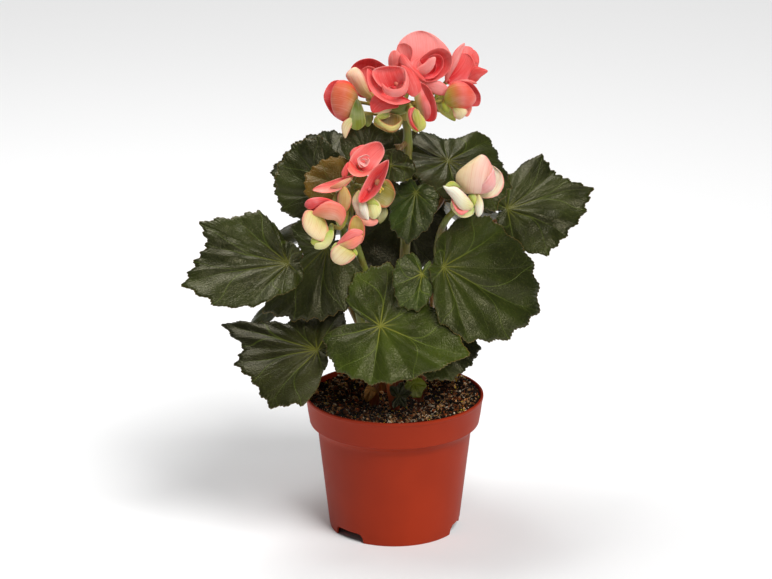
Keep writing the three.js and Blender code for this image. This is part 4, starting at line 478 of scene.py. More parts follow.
]


# Colours and small sums


def linear(colour):
    """A colour of 0 to 255 as the linear colour that shaders use."""
    value = np.asarray(colour, float) / 255
    return np.where(value <= 0.04045, value / 12.92, ((value + 0.055) / 1.055) ** 2.4)


def rgba(colour):
    return (*linear(colour), 1.0)


def smooth_step(value, low, high):
    share = np.clip((np.asarray(value) - low) / (high - low), 0, 1)
    return share * share * (3 - 2 * share)


def mix(a, b, share):
    """Colours a and b mixed by an array of shares."""
    share = np.asarray(share)[..., None]
    return np.asarray(a) * (1 - share) + np.asarray(b) * share


def unit(vectors):
    length = np.linalg.norm(vectors, axis=-1, keepdims=True)
    return vectors / np.maximum(length, 1e-9)


def around(sides):
    """The angles of points spread evenly round a circle."""
    return np.linspace(0, 2 * math.pi, sides, endpoint=False)


# Material node trees


class Value:
    """The output of a node, which adds, subtracts, multiplies and divides like a number."""

    def __init__(self, tree, socket):
        self.tree = tree
        self.socket = socket

    def __add__(self, other):
        return self.tree.math("ADD", self, other)

    def __sub__(self, other):
        return self.tree.math("SUBTRACT", self, other)

    def __rsub__(self, other):
        return self.tree.math("SUBTRACT", other, self)

    def __mul__(self, other):
        return self.tree.math("MULTIPLY", self, other)

    def __truediv__(self, other):
        return self.tree.math("DIVIDE", self, other)

    def __abs__(self):
        return self.tree.math("ABSOLUTE", self)


class Tree:
    """One material and the few node kinds that it is made of."""

    def __init__(self, name):
        self.material = bpy.data.materials.new(name)
        self.material.use_nodes = True
        self.nodes = self.material.node_tree.nodes
        self.links = self.material.node_tree.links
        self.shader = self.nodes["Principled BSDF"]

    def plug(self, node, inputs):
        for key, value in inputs.items():
            if isinstance(value, Value):
                self.links.new(value.socket, node.inputs[key])
            else:
                node.inputs[key].default_value = value

    def add(self, kind, inputs, output=0, **settings):
        """A new node with its settings and its inputs, by name or by number. Gives one of its outputs."""
        node = self.nodes.new(kind)
        for key, value in settings.items():
            setattr(node, key, value)
        self.plug(node, inputs)
        return Value(self, node.outputs[output])

    def math(self, operation, *values):
        return self.add("ShaderNodeMath", dict(enumerate(values)), operation=operation)

    def attribute(self, name, output="Fac"):
        return self.add("ShaderNodeAttribute", {}, output, attribute_name=name)

    def place(self):
        return self.add("ShaderNodeTexCoord", {}, "Object")

    def ramp(self, value, low, high, start=0.0, end=1.0):
        """A soft rise from start to end while the value goes from low to high."""
        inputs = dict(enumerate((value, low, high, start, end)))
        return self.add("ShaderNodeMapRange", inputs, interpolation_type="SMOOTHSTEP")

    def noise(self, vector, scale, detail=3.0, roughness=0.5):
        inputs = {"Vector": vector, "Scale": scale, "Detail": detail, "Roughness": roughness}
        return self.add("ShaderNodeTexNoise", inputs)

    def cells(self, vector, scale, feature):
        inputs = {"Vector": vector, "Scale": scale}
        return self.add("ShaderNodeTexVoronoi", inputs, "Distance", feature=feature)

    def blend_value(self, share, a, b):
        return self.add("ShaderNodeMix", {0: share, 2: a, 3: b}, data_type="FLOAT")

    def blend(self, share, a, b, kind="MIX"):
        return self.add("ShaderNodeMix", {0: share, 6: a, 7: b}, 2, data_type="RGBA", blend_type=kind)

    def stretched(self, vector, scale):
        return self.add("ShaderNodeVectorMath", {0: vector, 1: scale}, operation="MULTIPLY")

    def relief(self, height, distance, strength):
        bump = self.add("ShaderNodeBump", {"Height": height, "Distance": distance, "Strength": strength})
        self.plug(self.shader, {"Normal": bump})

    def finish(self, **values):
        self.plug(self.shader, {key.replace("_", " "): value for key, value in values.items()})
        return self.material


def leaf_veins(tree, share, side):
    """The main veins, which thin out towards the edge, and the forks that run from them to the next lobe."""
    width = tree.ramp(share, 0.0, 0.9, 0.7, 0.26)
    main = tree.ramp(side * tree.attribute("arc") / width, 0.3, 1.3, 1.0, 0.0)
    lesser = tree.ramp(share, 0.05, 0.3, 0.7, 0.1) * main
    main = tree.blend_value(tree.attribute("main"), lesser, main) * tree.ramp(share, 0.4, 0.97, 1.0, 0.3)
    fork = tree.ramp(abs(tree.attribute("forked")), 0.1, 0.5, 0.75, 0.0) * tree.ramp(share, 0.25, 0.4)
    return tree.math("MAXIMUM", main, fork)


def leaf_branches(tree, share, side):
    """The side veins, which slant outwards from the main ones."""
    wobble = (tree.noise(tree.place(), 60.0, 2.0) - 0.5) * 0.22
    phase = (share + wobble) * SIDE_VEINS - side * SIDE_SLANT
    from_side = abs(tree.math("FRACT", phase) - 0.5) * (tree.attribute("reach") / SIDE_VEINS)
    branch = tree.ramp(from_side, 0.1, 0.55, 1.0, 0.0)
    return branch * tree.ramp(share, 0.15, 0.35) * tree.ramp(side, 0.5, 0.25)


def leaf_material():
    """Dark blade with sunk pale veins, a fine net between them, a pebbled satin face and painted specks of
    sheen.
    """
    # The second colour here is a pale grey-olive, used for painted specks of sheen.
    black, painted_sheen, rim_brown = (0.0, 0.0, 0.0, 1.0), rgba((84, 84, 40)), rgba((126, 100, 52))
    inner_vein, outer_vein = rgba((116, 116, 38)), rgba((82, 96, 30))
    underside, under_vein = rgba((58, 62, 32)), rgba((128, 110, 60))
    tree = Tree("leaf")
    place = tree.place()
    share = tree.attribute("share")
    panel = tree.math("FRACT", tree.attribute("lane"))
    side = tree.math("MINIMUM", panel, 1.0 - panel)
    main = leaf_veins(tree, share, side)
    branch = leaf_branches(tree, share, side)
    net = tree.ramp(tree.cells(place, 260.0, "DISTANCE_TO_EDGE"), 0.0, 0.1, 1.0, 0.0)
    veins = tree.math("MAXIMUM", tree.math("MAXIMUM", main, branch * 0.4), net * 0.08)
    broad = tree.noise(place, 26.0)
    fine = tree.noise(place, 700.0, 2.0)
    tone = tree.attribute("tone", "Color")
    blade = tree.blend(tree.ramp(broad, 0.38, 0.66), tree.blend(0.6, tone, black), tone)
    # Painted sheen: fine noise mixes specks of pale grey-olive into the blade colour.
    blade = tree.blend(tree.ramp(fine, 0.5, 0.75, 0.0, 0.22), blade, painted_sheen)
    vein_colour = tree.blend(tree.ramp(share, 0.05, 0.5), inner_vein, outer_vein)
    blade = tree.blend(veins * tree.attribute("plain"), blade, vein_colour)
    blade = tree.blend(tree.ramp(share, 0.985, 1.0, 0.0, 0.6), blade, rim_brown)
    colour = tree.blend(tree.attribute("under"), blade, tree.blend(veins, underside, under_vein))
    pebble = tree.cells(place, 1000.0, "SMOOTH_F1")
    tree.relief(pebble * -0.9 + veins * -0.5 + fine * 0.35, 0.0003, 0.9)
    rough = broad * 0.1 + tree.ramp(tree.noise(place, 1100.0, 2.0, 0.6), 0.35, 0.65, 0.24, 0.44)
    return tree.finish(
        Base_Color=colour, Roughness=rough, Specular_IOR_Level=0.46, Specular_Tint=(1.0, 0.92, 0.6, 1.0),
    )


def petal_material():
    """Soft satin petals with fine streaks that run from root to rim."""
    tree = Tree("petal")
    flow = tree.attribute("flow", "Vector")
    streaks = tree.noise(tree.stretched(flow, (17.0, 1.4, 1.0)), 1.0, 3.0, 0.6)
    blotch = tree.noise(tree.place(), 90.0, 2.0)
    colour = tree.attribute("tint", "Color")
    colour = tree.blend(tree.ramp(streaks, 0.5, 0.72, 0.0, 0.45), colour, (0.3, 0.2, 0.18, 1.0), "SCREEN")
    colour = tree.blend(tree.ramp(streaks, 0.3, 0.5, 0.42, 0.0), colour, (0.86, 0.46, 0.42, 1.0), "MULTIPLY")
    colour = tree.blend(tree.ramp(blotch, 0.4, 0.8, 0.0, 0.12), colour, (1.0, 0.93, 0.9, 1.0), "SCREEN")
    tree.relief(streaks + tree.noise(tree.place(), 1500.0, 2.0) * 0.25, 0.00025, 0.6)
    return tree.finish(
        Base_Color=colour, Roughness=0.46, Specular_IOR_Level=0.35, Subsurface_Weight=0.16,
        Subsurface_Radius=(0.004, 0.0016, 0.001), Subsurface_Scale=0.5, Sheen_Weight=0.12,
    )


def stem_material():
    """Fleshy stalks, faintly ribbed along their length."""
    tree = Tree("stem")
    place = tree.place()
    ribs = tree.noise(tree.stretched(place, (900.0, 900.0, 60.0)), 1.0, 2.0)
    blotch = tree.ramp(tree.noise(place, 120.0), 0.4, 0.75, 0.0, 0.4)
    colour = tree.blend(blotch, tree.attribute("tint", "Color"), rgba((132, 62, 40)))
    colour = tree.blend(tree.ramp(ribs, 0.4, 0.8, 0.0, 0.25), colour, rgba((176, 180, 96)))
    tree.relief(ribs, 0.0003, 0.5)
    return tree.finish(
        Base_Color=colour, Roughness=0.38, Subsurface_Weight=0.12, Subsurface_Radius=(0.002, 0.0015, 0.0006),
        Subsurface_Scale=0.5,
    )


def pot_material():
    """Moulded terracotta-coloured plastic: satin, with faint flow marks, a patchy tone and a fine grain."""
    tree = Tree("pot")
    place = tree.place()
    marks = tree.noise(tree.stretched(place, (40.0, 40.0, 7.0)), 1.0)
    broad = tree.ramp(tree.noise(place, 14.0), 0.3, 0.7)
    colour = tree.blend(broad, rgba((146, 42, 16)), rgba((160, 48, 18)))
    colour = tree.blend(tree.ramp(marks, 0.5, 0.8, 0.0, 0.25), colour, rgba((136, 40, 16)))
    tree.relief(tree.noise(place, 2600.0, 2.0), 0.00005, 0.5)
    return tree.finish(Base_Color=colour, Roughness=marks * 0.12 + 0.44, Specular_IOR_Level=0.14)


def soil_material():
    """Damp compost: dark, matt and grainy, tinted grain by grain, with painted shade in the low spots of the
    grain.
    """
    tree = Tree("soil")
    grain = tree.noise(tree.place(), 900.0, 4.0, 0.7)
    # Painted shade: the colour is darkened where the grain relief is low, as in shaded hollows.
    dark = (0.25, 0.2, 0.17, 1.0)
    depth = tree.ramp(grain, 0.35, 0.65, 0.6, 0.0)
    colour = tree.blend(depth, tree.attribute("tint", "Color"), dark, "MULTIPLY")
    tree.relief(grain, 0.0006, 1.0)
    return tree.finish(Base_Color=colour, Roughness=0.85, Specular_IOR_Level=0.3)


# Meshes


def add_object(name, data):
    thing = bpy.data.objects.new(name, data)
    bpy.context.scene.collection.objects.link(thing)
    return thing


def set_point_values(mesh, key, value):
    """One number, one colour or, for the flow of a petal, one vector for each point."""
    if value.ndim == 1:
        mesh.attributes.new(key, "FLOAT", "POINT").data.foreach_set("value", value)
    elif key == "flow":
        mesh.attributes.new(key, "FLOAT_VECTOR", "POINT").data.foreach_set("vector", value.ravel())
    else:
        full = np.concatenate([value, np.ones((len(value), 1))], axis=1)
        mesh.attributes.new(key, "FLOAT_COLOR", "POINT").data.foreach_set("color", full.ravel())


class Pile:
    """Points, faces and point values of one piece, gathered from several shapes, in millimetres."""

    def __init__(self):
        self.points = []
        self.faces = []
        self.values = {}
        self.count = 0

    def put(self, points, face_sets, **values):
        for face_set in face_sets:
            self.faces.extend((np.asarray(face_set) + self.count).tolist())
        self.points.append(np.asarray(points, float))
        for key, value in values.items():
            self.values.setdefault(key, []).append(np.asarray(value, float))
        self.count += len(points)

    def piece(self, name, material, slot, *nodes):
        mesh = bpy.data.meshes.new(name)
        mesh.from_pydata((np.concatenate(self.points) * MM).tolist(), [], self.faces)
        mesh.polygons.foreach_set("use_smooth", [True] * len(mesh.polygons))
        for key, parts in self.values.items():
            set_point_values(mesh, key, np.concatenate(parts))
        mesh.materials.append(material)
        mesh.update()
        piece = add_object(name, mesh)
        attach(piece, "root")
        if nodes:
            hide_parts(*nodes)


def grid_normals(middle, face):
    """Normals of a grid of points, turned to the side that face looks to."""
    normals = unit(np.cross(np.gradient(middle, axis=0), np.gradient(middle, axis=1)))
    return -normals if float((normals * face).sum(-1).mean()) < 0 else normals


def sheet(pile, middle, normals, thickness, values, hub=None):
    """A closed sheet on a grid of points, with values for its upper and lower face.

    It has two faces and a strip round the border. A hub (place, normal and values) closes row 0 to a point.
    """
    rows, columns, _ = middle.shape
    size = rows * columns
    half = (thickness / 2)[..., None]
    points = [(middle + normals * half).reshape(-1, 3), (middle - normals * half).reshape(-1, 3)]
    index = np.arange(size).reshape(rows, columns)
    quads = np.stack([index[:-1, :-1], index[1:, :-1], index[1:, 1:], index[:-1, 1:]], axis=-1).reshape(-1, 4)
    border = [index[0, -1:], index[1:, -1], index[-1, ::-1][1:], index[::-1, 0][1:]]
    if hub is None:
        border.append(index[0, 1:])
    border = np.concatenate(border)
    start, end = border[:-1], border[1:]
    faces = [quads, quads[:, ::-1] + size, np.stack([end, end + size, start + size, start], axis=-1)]
    if hub is not None:
        place, normal, hub_values = hub
        points.append([place + normal * thickness[0, 0] / 2, place - normal * thickness[0, 0] / 2])
        up, down, first, last = 2 * size, 2 * size + 1, index[0, 0], index[0, -1]
        for a, b in zip(index[0, :-1], index[0, 1:]):
            faces.append([[up, a, b], [down, b + size, a + size]])
        faces.append([[up, first, first + size, down], [up, down, last + size, last]])
    row = rows // 2
    turned = np.cross(middle[row, 0] - middle[row - 1, 0], middle[row, 1] - middle[row, 0])
    if float(turned @ normals[row, 0]) < 0:
        faces = [np.asarray(group)[:, ::-1] for group in faces]
    full = {}
    for key, sides in values.items():
        full[key] = np.concatenate([side.reshape(size, *side.shape[2:]) for side in sides])
        if hub is not None:
            full[key] = np.concatenate([full[key], hub_values[key]])
    pile.put(np.concatenate(points), faces, **full)


def ring_faces(rings, sides):
    """Faces of a closed round shape, whose points are its rings, its first pole and its last pole."""
    index = np.arange(rings * sides).reshape(rings, sides)
    following = np.roll(index, -1, axis=1)
    quads = np.stack([index[:-1], following[:-1], following[1:], index[1:]], axis=-1).reshape(-1, 4)
    start, end = (np.full(sides, rings * sides + pole) for pole in (0, 1))
    start_fan = np.stack([start, following[0], index[0]], axis=-1)
    return [quads, start_fan, np.stack([end, index[-1], following[-1]], axis=-1)]


# Leaf blades: lanes are the panels between two veins, and a share of 0 to 1 runs from the hub to the edge

SINUS_REACH = 0.1
TOOTH, TOOTH_DEPTH, TOOTH_SAMPLES = 2.9, 0.95, 5
SIDE_VEINS, SIDE_SLANT = 4.2, 3.2
PLAIN_ROWS, LOBED_ROWS = 9, 16
DENT, DENT_LENGTH = 0.6, 38
QUILT, WAVE, RIPPLE, TOOTH_LIFT = 0.14, 1.1, 0.7, 0.25
RIDGE, EDGE_THINNING = 0.55, 0.35
NO_FORK = 6

# The edge, point by point: the lane, the angle, the reach as a share of the length, the panel's width in
# degrees, the tooth, whether the nearer vein is a main one, which vein forks (1 the first, -1 the second),
# whether each of the two is a main one, the place in the panel, and how far it is to the nearer vein
Edge = namedtuple("Edge", "lane degrees reach width tooth main fork low_main high_main panel side")
# The grid: the share of the way out, the distance from the hub, the angle, the panel's width, and how far it
# is to the nearer vein
Grid = namedtuple("Grid", "share radius angle arc from_main")


def blade_frame(leaf):
    """The hub of a blade, the ways ahead, out of its face and to its left, and its length."""
    ahead = unit(np.array(leaf.tip, float))
    face = np.array(leaf.face, float)
    face = unit(face - ahead * (face @ ahead))
    return np.array(leaf.at, float), ahead, face, np.cross(face, ahead), float(np.linalg.norm(leaf.tip))


def is_main(vein, tip, last):
    """Every second vein, counted from the one at the tip, is a main one. The two at the cleft are none."""
    return 0 < vein < last and (vein - tip) % 2 == 0


def blade_edge(veins, length, rng):
    """The points along the edge of a blade, lane by lane, with a tooth about every TOOTH millimetres."""
    last = len(veins) - 1
    tip = min(range(1, last), key=lambda k: abs(veins[k][0]))
    points = []
    for lane, ((a, near), (b, far)) in enumerate(zip(veins, veins[1:])):
        arc = length * math.hypot(math.radians(b - a) * (near + far) / 2, far - near)
        teeth = max(2, round(arc / TOOTH))
        strengths = [rng.uniform(0.55, 1.3) for _ in range(teeth)]
        low_main, high_main = is_main(lane, tip, last), is_main(lane + 1, tip, last)
        fork = 0
        if low_main and tip <= lane < last - 1:
            fork = 1
        if high_main and 0 < lane < tip:
            fork = -1
        for k in range(teeth * TOOTH_SAMPLES):
            panel = k / (teeth * TOOTH_SAMPLES)
            ease = panel + 0.5 * (panel * panel * (3 - 2 * panel) - panel)
            saw = (k % TOOTH_SAMPLES) / TOOTH_SAMPLES
            saw = 1 - saw if panel < 0.5 else saw
            tooth = np.interp(saw, [0, 0.7, 1], [0, 1, 0]) * strengths[k // TOOTH_SAMPLES] - 0.5
            main = low_main if panel < 0.5 else high_main
            place = [lane + panel, a + (b - a) * panel, near + (far - near) * ease, b - a]
            points.append([*place, tooth, main, fork, low_main, high_main])
    points.append([last - 1e-4, 180, SINUS_REACH, veins[-1][0] - veins[-2][0], -0.5, 0, 0, 0, 0])
    lane, *others = np.array(points, float).T
    panel = lane % 1
    return Edge(lane, *others, panel, np.minimum(panel, 1 - panel))


def blade_radius(edge, share, length):
    """How far the points of a blade lie from its hub. The edge is notched between the veins and toothed."""
    turn = 2 * math.pi * edge.panel
    notch = 0.022 * (1 - np.cos(2 * turn)) + 0.008 * (1 - np.cos(turn))
    radius = edge.reach * (1 - notch * smooth_step(share, 0.7, 1)) * share * length
    bite = TOOTH_DEPTH * min(1, length / 45) * np.minimum(1, edge.reach / 0.35)
    return radius + smooth_step(share, 0.86, 1) * edge.tooth * bite


def pleats(edge, share, swell):
    """Each panel arches between its veins, and the lesser veins lie less deep than the main ones."""
    rising, falling = smooth_step(edge.panel, 0, 1), smooth_step(1 - edge.panel, 0, 1)
    lesser = np.where(edge.low_main > 0, rising, np.where(edge.high_main > 0, falling, 0))
    arch = (1 - np.cos(2 * math.pi * edge.panel)) / 2 * (1 - lesser * 0.6) + lesser * 0.7
    return arch * (1.1 - 0.6 * share) * np.minimum(1, edge.width / 40) * swell


def quilting(edge, grid, length):
    """The blade swells softly between its side veins."""
    phase = (grid.share * SIDE_VEINS - edge.side * SIDE_SLANT) % 1
    from_side = np.abs(phase - 0.5) * edge.reach * length / SIDE_VEINS
    quilt = (1 - np.exp(-((grid.from_main / 1.8) ** 2))) * (1 - np.exp(-((from_side / 1.6) ** 2)))
    fade = smooth_step(grid.share, 0.05, 0.25) * (1 - 0.5 * smooth_step(grid.share, 0.85, 1))
    return (quilt - 0.5) * fade


def waves(edge, share, swing):
    """Waves of the edge, and ripples that run out from the hub."""
    turn = np.radians(edge.degrees)
    wave = np.sin(turn * 5 + swing) + 0.6 * np.sin(turn * 9 + swing * 2)
    return WAVE * share**3 * wave + RIPPLE * np.sin(share * 5 + edge.lane * 1.3 + swing) * share


def dents(grid, swing):
    """Broad soft dents, which catch the light here and there."""
    away = grid.radius / DENT_LENGTH * 2 * math.pi
    along, aside = away * np.cos(grid.angle), away * np.sin(grid.angle)
    dent = np.sin(along + 1.2 * np.sin(aside * 0.7 + swing))
    dent = dent * np.cos(0.9 * aside + np.sin(along * 0.6) + swing)
    dent = dent + 0.5 * np.sin(1.9 * along - 1.3 * aside + swing * 3)
    return dent * smooth_step(grid.share, 0.08, 0.4)


def blade_rise(leaf, edge, grid, length, swell, swing):
    """How far the points of a blade stand out of its plane."""
    calm = min(1, length / 50)
    rise = leaf.pleat * grid.radius * pleats(edge, grid.share, swell)
    rise = rise + leaf.fold * np.abs(np.sin(grid.angle)) * grid.radius - leaf.droop * grid.radius**2 / length
    for centre, half, height in leaf.lifts:
        rise = rise + height * np.exp(-(((edge.degrees - centre) / half) ** 2)) * grid.share**2
    rise = rise + QUILT * quilting(edge, grid, length)
    rise = rise + TOOTH_LIFT * smooth_step(grid.share, 0.86, 1) * edge.tooth
    return rise + calm * (waves(edge, grid.share, swing) + DENT * dents(grid, swing))


def blade_values(leaf, edge, grid, length, tone):
    """The point values of a blade's upper and lower face, and those of its hub above and below."""
    # How far it is to the vein that forks off the main one and runs out to the next lobe
    along_fork = np.where(edge.fork > 0, edge.panel, 1 - edge.panel)
    forked = np.where(edge.fork == 0, NO_FORK, (along_fork - smooth_step(grid.share, 0.22, 1.05)) * grid.arc)
    alike = {
        "lane": (edge.lane, 0), "share": (grid.share, 0), "arc": (grid.arc, 0), "main": (edge.main, 1),
        "reach": (edge.reach * length, length), "forked": (forked, NO_FORK), "plain": (leaf.seen, leaf.seen),
    }
    shape = grid.radius.shape
    values = {key: [np.broadcast_to(value, shape)] * 2 for key, (value, _) in alike.items()}
    values["under"] = [np.zeros(shape), np.ones(shape)]
    values["tone"] = [np.broadcast_to(tone, (*shape, 3))] * 2
    hub_values = {key: (value, value) for key, (_, value) in alike.items()}
    return values, hub_values | {"under": (0, 1), "tone": (tone, tone)}


def make_leaf(leaf, material, seed):
    origin, ahead, face, left, length = blade_frame(leaf)
    rng = random.Random(seed)
    veins = [(-180, SINUS_REACH), *sorted(leaf.veins), (180, SINUS_REACH)]
    lanes = range(len(veins))
    edge = blade_edge(veins, length, rng)
    share = np.linspace(0.02, 1, PLAIN_ROWS if leaf.veins is PLAIN_VEINS else LOBED_ROWS)[:, None]
    radius = blade_radius(edge, share, length)
    bends = [0, *(rng.uniform(-6, 6) for _ in veins[2:]), 0]
    angle = np.radians(edge.degrees + np.interp(edge.lane, lanes, bends) * np.sin(math.pi * share**0.8))
    arc = np.radians(edge.width) * radius
    grid = Grid(share, radius, angle, arc, edge.side * arc)
    swell = np.interp(edge.lane, lanes, [rng.uniform(0.65, 1.15) for _ in veins])
    rise = blade_rise(leaf, edge, grid, length, swell, rng.uniform(0, 2 * math.pi))
    along, aside = radius * np.cos(angle), radius * np.sin(angle)
    middle = origin + ahead * along[..., None] + left * aside[..., None] + face * rise[..., None]
    normals = grid_normals(middle, face)
    thickness = np.full(radius.shape, LEAF_THICKNESS)
    thickness[-1] *= EDGE_THINNING
    ridge = RIDGE * np.exp(-((grid.from_main / 0.8) ** 2)) * (1 - share) ** 0.6 * (0.4 + 0.6 * edge.main)
    middle = middle - normals * (ridge / 2)[..., None]
    tone = linear(leaf.colour) * rng.uniform(0.9, 1.12)
    values, hub_values = blade_values(leaf, edge, grid, length, tone)
    pile = Pile()
    sheet(pile, middle, normals, thickness + ridge, values, (origin, face, hub_values))
    pile.piece(leaf.name.replace("leaf_", "blade_"), material, leaf.slot, leaf.name)


# Petals

HEART_LUMP = 1.6
FORWARD = np.array([0, -0.951, 0.309])
PETAL_GRID = 19
RUFFLE, LIP, RIB = 0.25, 0.5, 0.1
BEHIND_REACH, BEHIND_DEPTH = 0.62, 0.5
BACK_SIZE, BACK_SHIFT = 0.7, np.array([0, 3.5, -2])


def smooth_line(points, places):
    """A smooth line through points, whose first and last only steer it, at places counted in points."""
    first = np.clip(np.floor(places).astype(int), 0, len(points) - 4)
    part = (places - first)[:, None]
    a, b, c, d = (points[first + k] for k in range(4))
    curve = (c - a) * part + (2 * a - 5 * b + 4 * c - d) * part**2 + (3 * b - a - 3 * c + d) * part**3
    return b + 0.5 * curve


def petal_sides(outline, along, shift):
    """The left and the right side of a petal, from its root to its tip."""
    root, tip = np.array(outline[0]), np.array(outline[-1])
    left = np.array([pair[:3] for pair in outline[1:-1]])
    right = np.array([pair[3:] for pair in outline[1:-1]])
    places = along * (len(left) + 1)
    for own, other in ((left, right), (right, left)):
        yield smooth_line(np.array([other[0], root, *own, tip, other[-1]], float) @ shift, places)


def petal_tints(colours, turn, along, across, rim, rng):
    """The colours of the upper and the lower face, from the root over the body to the rim."""
    fade = (1 + turn * across) / 2 if turn else along
    rim_share = 0.8 * smooth_step(rim, 0.72, 1.0)
    if turn:
        rim_share = np.maximum(rim_share * smooth_step(fade, 0.1, 0.4), 0.6 * smooth_step(fade, 0.7, 1.0))
    for root, body, edge in colours:
        colour = mix(linear(root), linear(body), smooth_step(fade, 0.04, 0.62))
        yield mix(colour, linear(edge), rim_share) * rng.uniform(0.95, 1.05)


def make_petal(pile, heart, petal, seed, facing=1):
    """One petal spread between the two sides of an outline, with its middle bulged or hollowed."""
    scheme, bulge, turn, outline = petal
    rng = random.Random(seed)
    shift = np.array([[facing, 0, 0], [0, 0, 1], [0, -facing, 0]], float) * (1 if facing > 0 else BACK_SIZE)
    forward = FORWARD * [1, facing, 1]
    along = (1 - np.cos(np.linspace(0.03, 0.97, PETAL_GRID) * math.pi)) / 2
    left, right = petal_sides(outline, along, shift)
    across = np.sin(np.linspace(-1, 1, PETAL_GRID) * math.pi / 2)[None, :, None]
    along = along[:, None, None]
    arch = np.sin(along * math.pi) ** 0.6 * (1 - across**2) ** 0.75
    rim = np.maximum(np.abs(across), np.abs(2 * along - 1) ** 3)
    swing = rng.uniform(0, 6)
    ruffle = RUFFLE * rim**4 * np.sin(along * 11 + across * 3 + swing)
    lip = LIP * smooth_step(np.abs(across), 0.82, 1) * (bulge < 0)
    ribs = RIB * np.sin(across * 14 + 3 * np.sin(along * 2 + swing)) * np.sin(along * math.pi)
    middle = heart + left[:, None] * (1 - across) / 2 + right[:, None] * (1 + across) / 2
    middle = middle + forward * (bulge * arch + ruffle + ribs - lip)
    shape = PETAL_GRID, PETAL_GRID
    thickness = np.full(shape, PETAL_THICKNESS)
    thickness[:, [0, -1]] *= 0.5
    thickness[[0, -1]] *= 0.5
    along, across, rim = (np.broadcast_to(part[..., 0], shape) for part in (along, across, rim))
    colours = SCHEMES[scheme][:: -1 if bulge > 0 else 1]
    tints = list(petal_tints(colours, turn, along, across, rim, rng))
    width = np.linalg.norm(left - right, axis=1)[:, None] / 20
    flow = np.stack([across * width, along, np.full(shape, rng.uniform(0, 50))], axis=-1)
    sheet(pile, middle, grid_normals(middle, forward), thickness, {"tint": tints, "flow": (flow, flow)})


def ball(detail):
    """Points and faces of a round ball with a radius of 1."""
    shape = bmesh.new()
    bmesh.ops.create_icosphere(shape, subdivisions=detail, radius=1)
    points = np.array([v.co for v in shape.verts])
    faces = [[v.index for v in f.verts] for f in shape.faces]
    shape.free()
    return points, faces


ROUND_BALL, COARSE_BALL = ball(2), ball(1)


def lump(pile, centre, radii, tint, seed, roughness):
    """A small rounded lump."""
    points, faces = ROUND_BALL
    rng = np.random.default_rng(seed)
    grown = points * (1 + rng.uniform(-roughness, roughness, (len(points), 1)))
    full = grown * np.asarray(radii) + np.asarray(centre)
    pile.put(full, [faces], tint=np.tile(tint, (len(points), 1)), flow=np.zeros((len(points), 3)))


def behind_petals(petals, scheme, count, steepness=BEHIND_DEPTH):
    """Round petals that bend back behind the others of a flower, within their outline."""
    points = np.array([row[k:k + 3] for *_, rows in petals for row in rows for k in range(0, len(row), 3)])
    low, high = points.min(axis=0), points.max(axis=0)
    centre, half = ((low + high) / 2)[:2], ((high - low) / 2)[:2]
    start = 0.6 * low[2] - 2
    for k in range(count):
        turn = 2 * math.pi * (k + 0.3) / count
        out, aside = np.array([math.cos(turn), math.sin(turn)]), np.array([-math.sin(turn), math.cos(turn)])
        depth = steepness * half.mean() * (1 + 0.25 * (k % 2))
        rows = [[*centre, start]]
        for share, width in ((0.3, 0.5), (0.6, 0.8), (0.88, 0.6)):
            middle = centre + BEHIND_REACH * share * half * out
            spread = 0.5 * width * half * aside
            front = start - depth * share
            rows.append([*(middle - spread), front, *(middle + spread), front])
        rows.append([*(centre + BEHIND_REACH * half * out), start - depth])
        yield scheme, 0.5, 0, rows


def coil_petals(offset, size, scheme):
    """Narrow petals rolled round each other, as in the middle of a full flower."""
    for k, radius in enumerate((1.0, 0.7, 0.4)):
        start = 0.6 + 2.2 * k
        rows = []
        for share, width in ((0, 0), (0.18, 0.26), (0.5, 0.42), (0.82, 0.26), (1, 0)):
            turn = start + share * 4.2
            row = []
            for grown, front in ((radius - width * 0.7, 0.2), (radius + width * 0.3, 0.2 + 1.3 * width)):
                row += [offset[0] + size * grown * math.cos(turn), offset[1] + size * grown * math.sin(turn),
                        offset[2] + size * front]
            rows.append(row if width else row[:3])
        yield scheme, -0.3, 0, rows


def make_flower(flower, material, seed):
    pile = Pile()
    heart = np.array(flower.at, float)
    facing, centre, petals = 1, heart, flower.petals
    if flower.like:
        facing, centre = -1, heart + BACK_SHIFT
        petals = next(other.petals for other in FLOWERS if other.name == flower.like)
    petals = list(petals)
    if flower.behind:
        petals += behind_petals(petals, *flower.behind)
    if flower.coil:
        petals += coil_petals(*flower.coil)
    for k, petal in enumerate(petals):
        make_petal(pile, centre, petal, seed * 100 + k, facing)
    lump(pile, heart, [HEART_LUMP] * 3, linear(flower.heart), seed, 0.04)
    for (right, up, front), radii, colour in flower.spots:
        lump(pile, heart + np.array([right, -front, up]), radii, linear(colour), seed, 0.06)
    name = flower.name
    for start, end in (("flower_", "bloom_"), ("bud_", "closed_bud_"), ("bract_", "bract_leaves_")):
        name = name.replace(start, end)
    pile.piece(name, material, flower.slot, flower.name)


# Stalks

STEM_TINTS = ((170, 66, 40), (104, 112, 30))
PETIOLE_TINTS = ((104, 84, 32), (132, 66, 44))
PEDICEL_TINTS = ((106, 112, 30), (156, 146, 62))
STEM_STEPS, PAST_STEPS, PETIOLE_STEPS, PEDICEL_STEPS = 90, 34, 26, 18
STEM_SIDES, STALK_SIDES = 18, 12
KNEE, KNEE_LENGTH = 0.45, 0.018
PETIOLE_RADII, PETIOLE_SWELLING, PETIOLE_NECK, PETIOLE_END = (2.1, 1.5), 0.35, 3.475, 0.9
PEDICEL_RADII, PEDICEL_SWELLING, PEDICEL_NECK, PEDICEL_END = (1.45, 1.15), 0.5, 3.28, 1.88


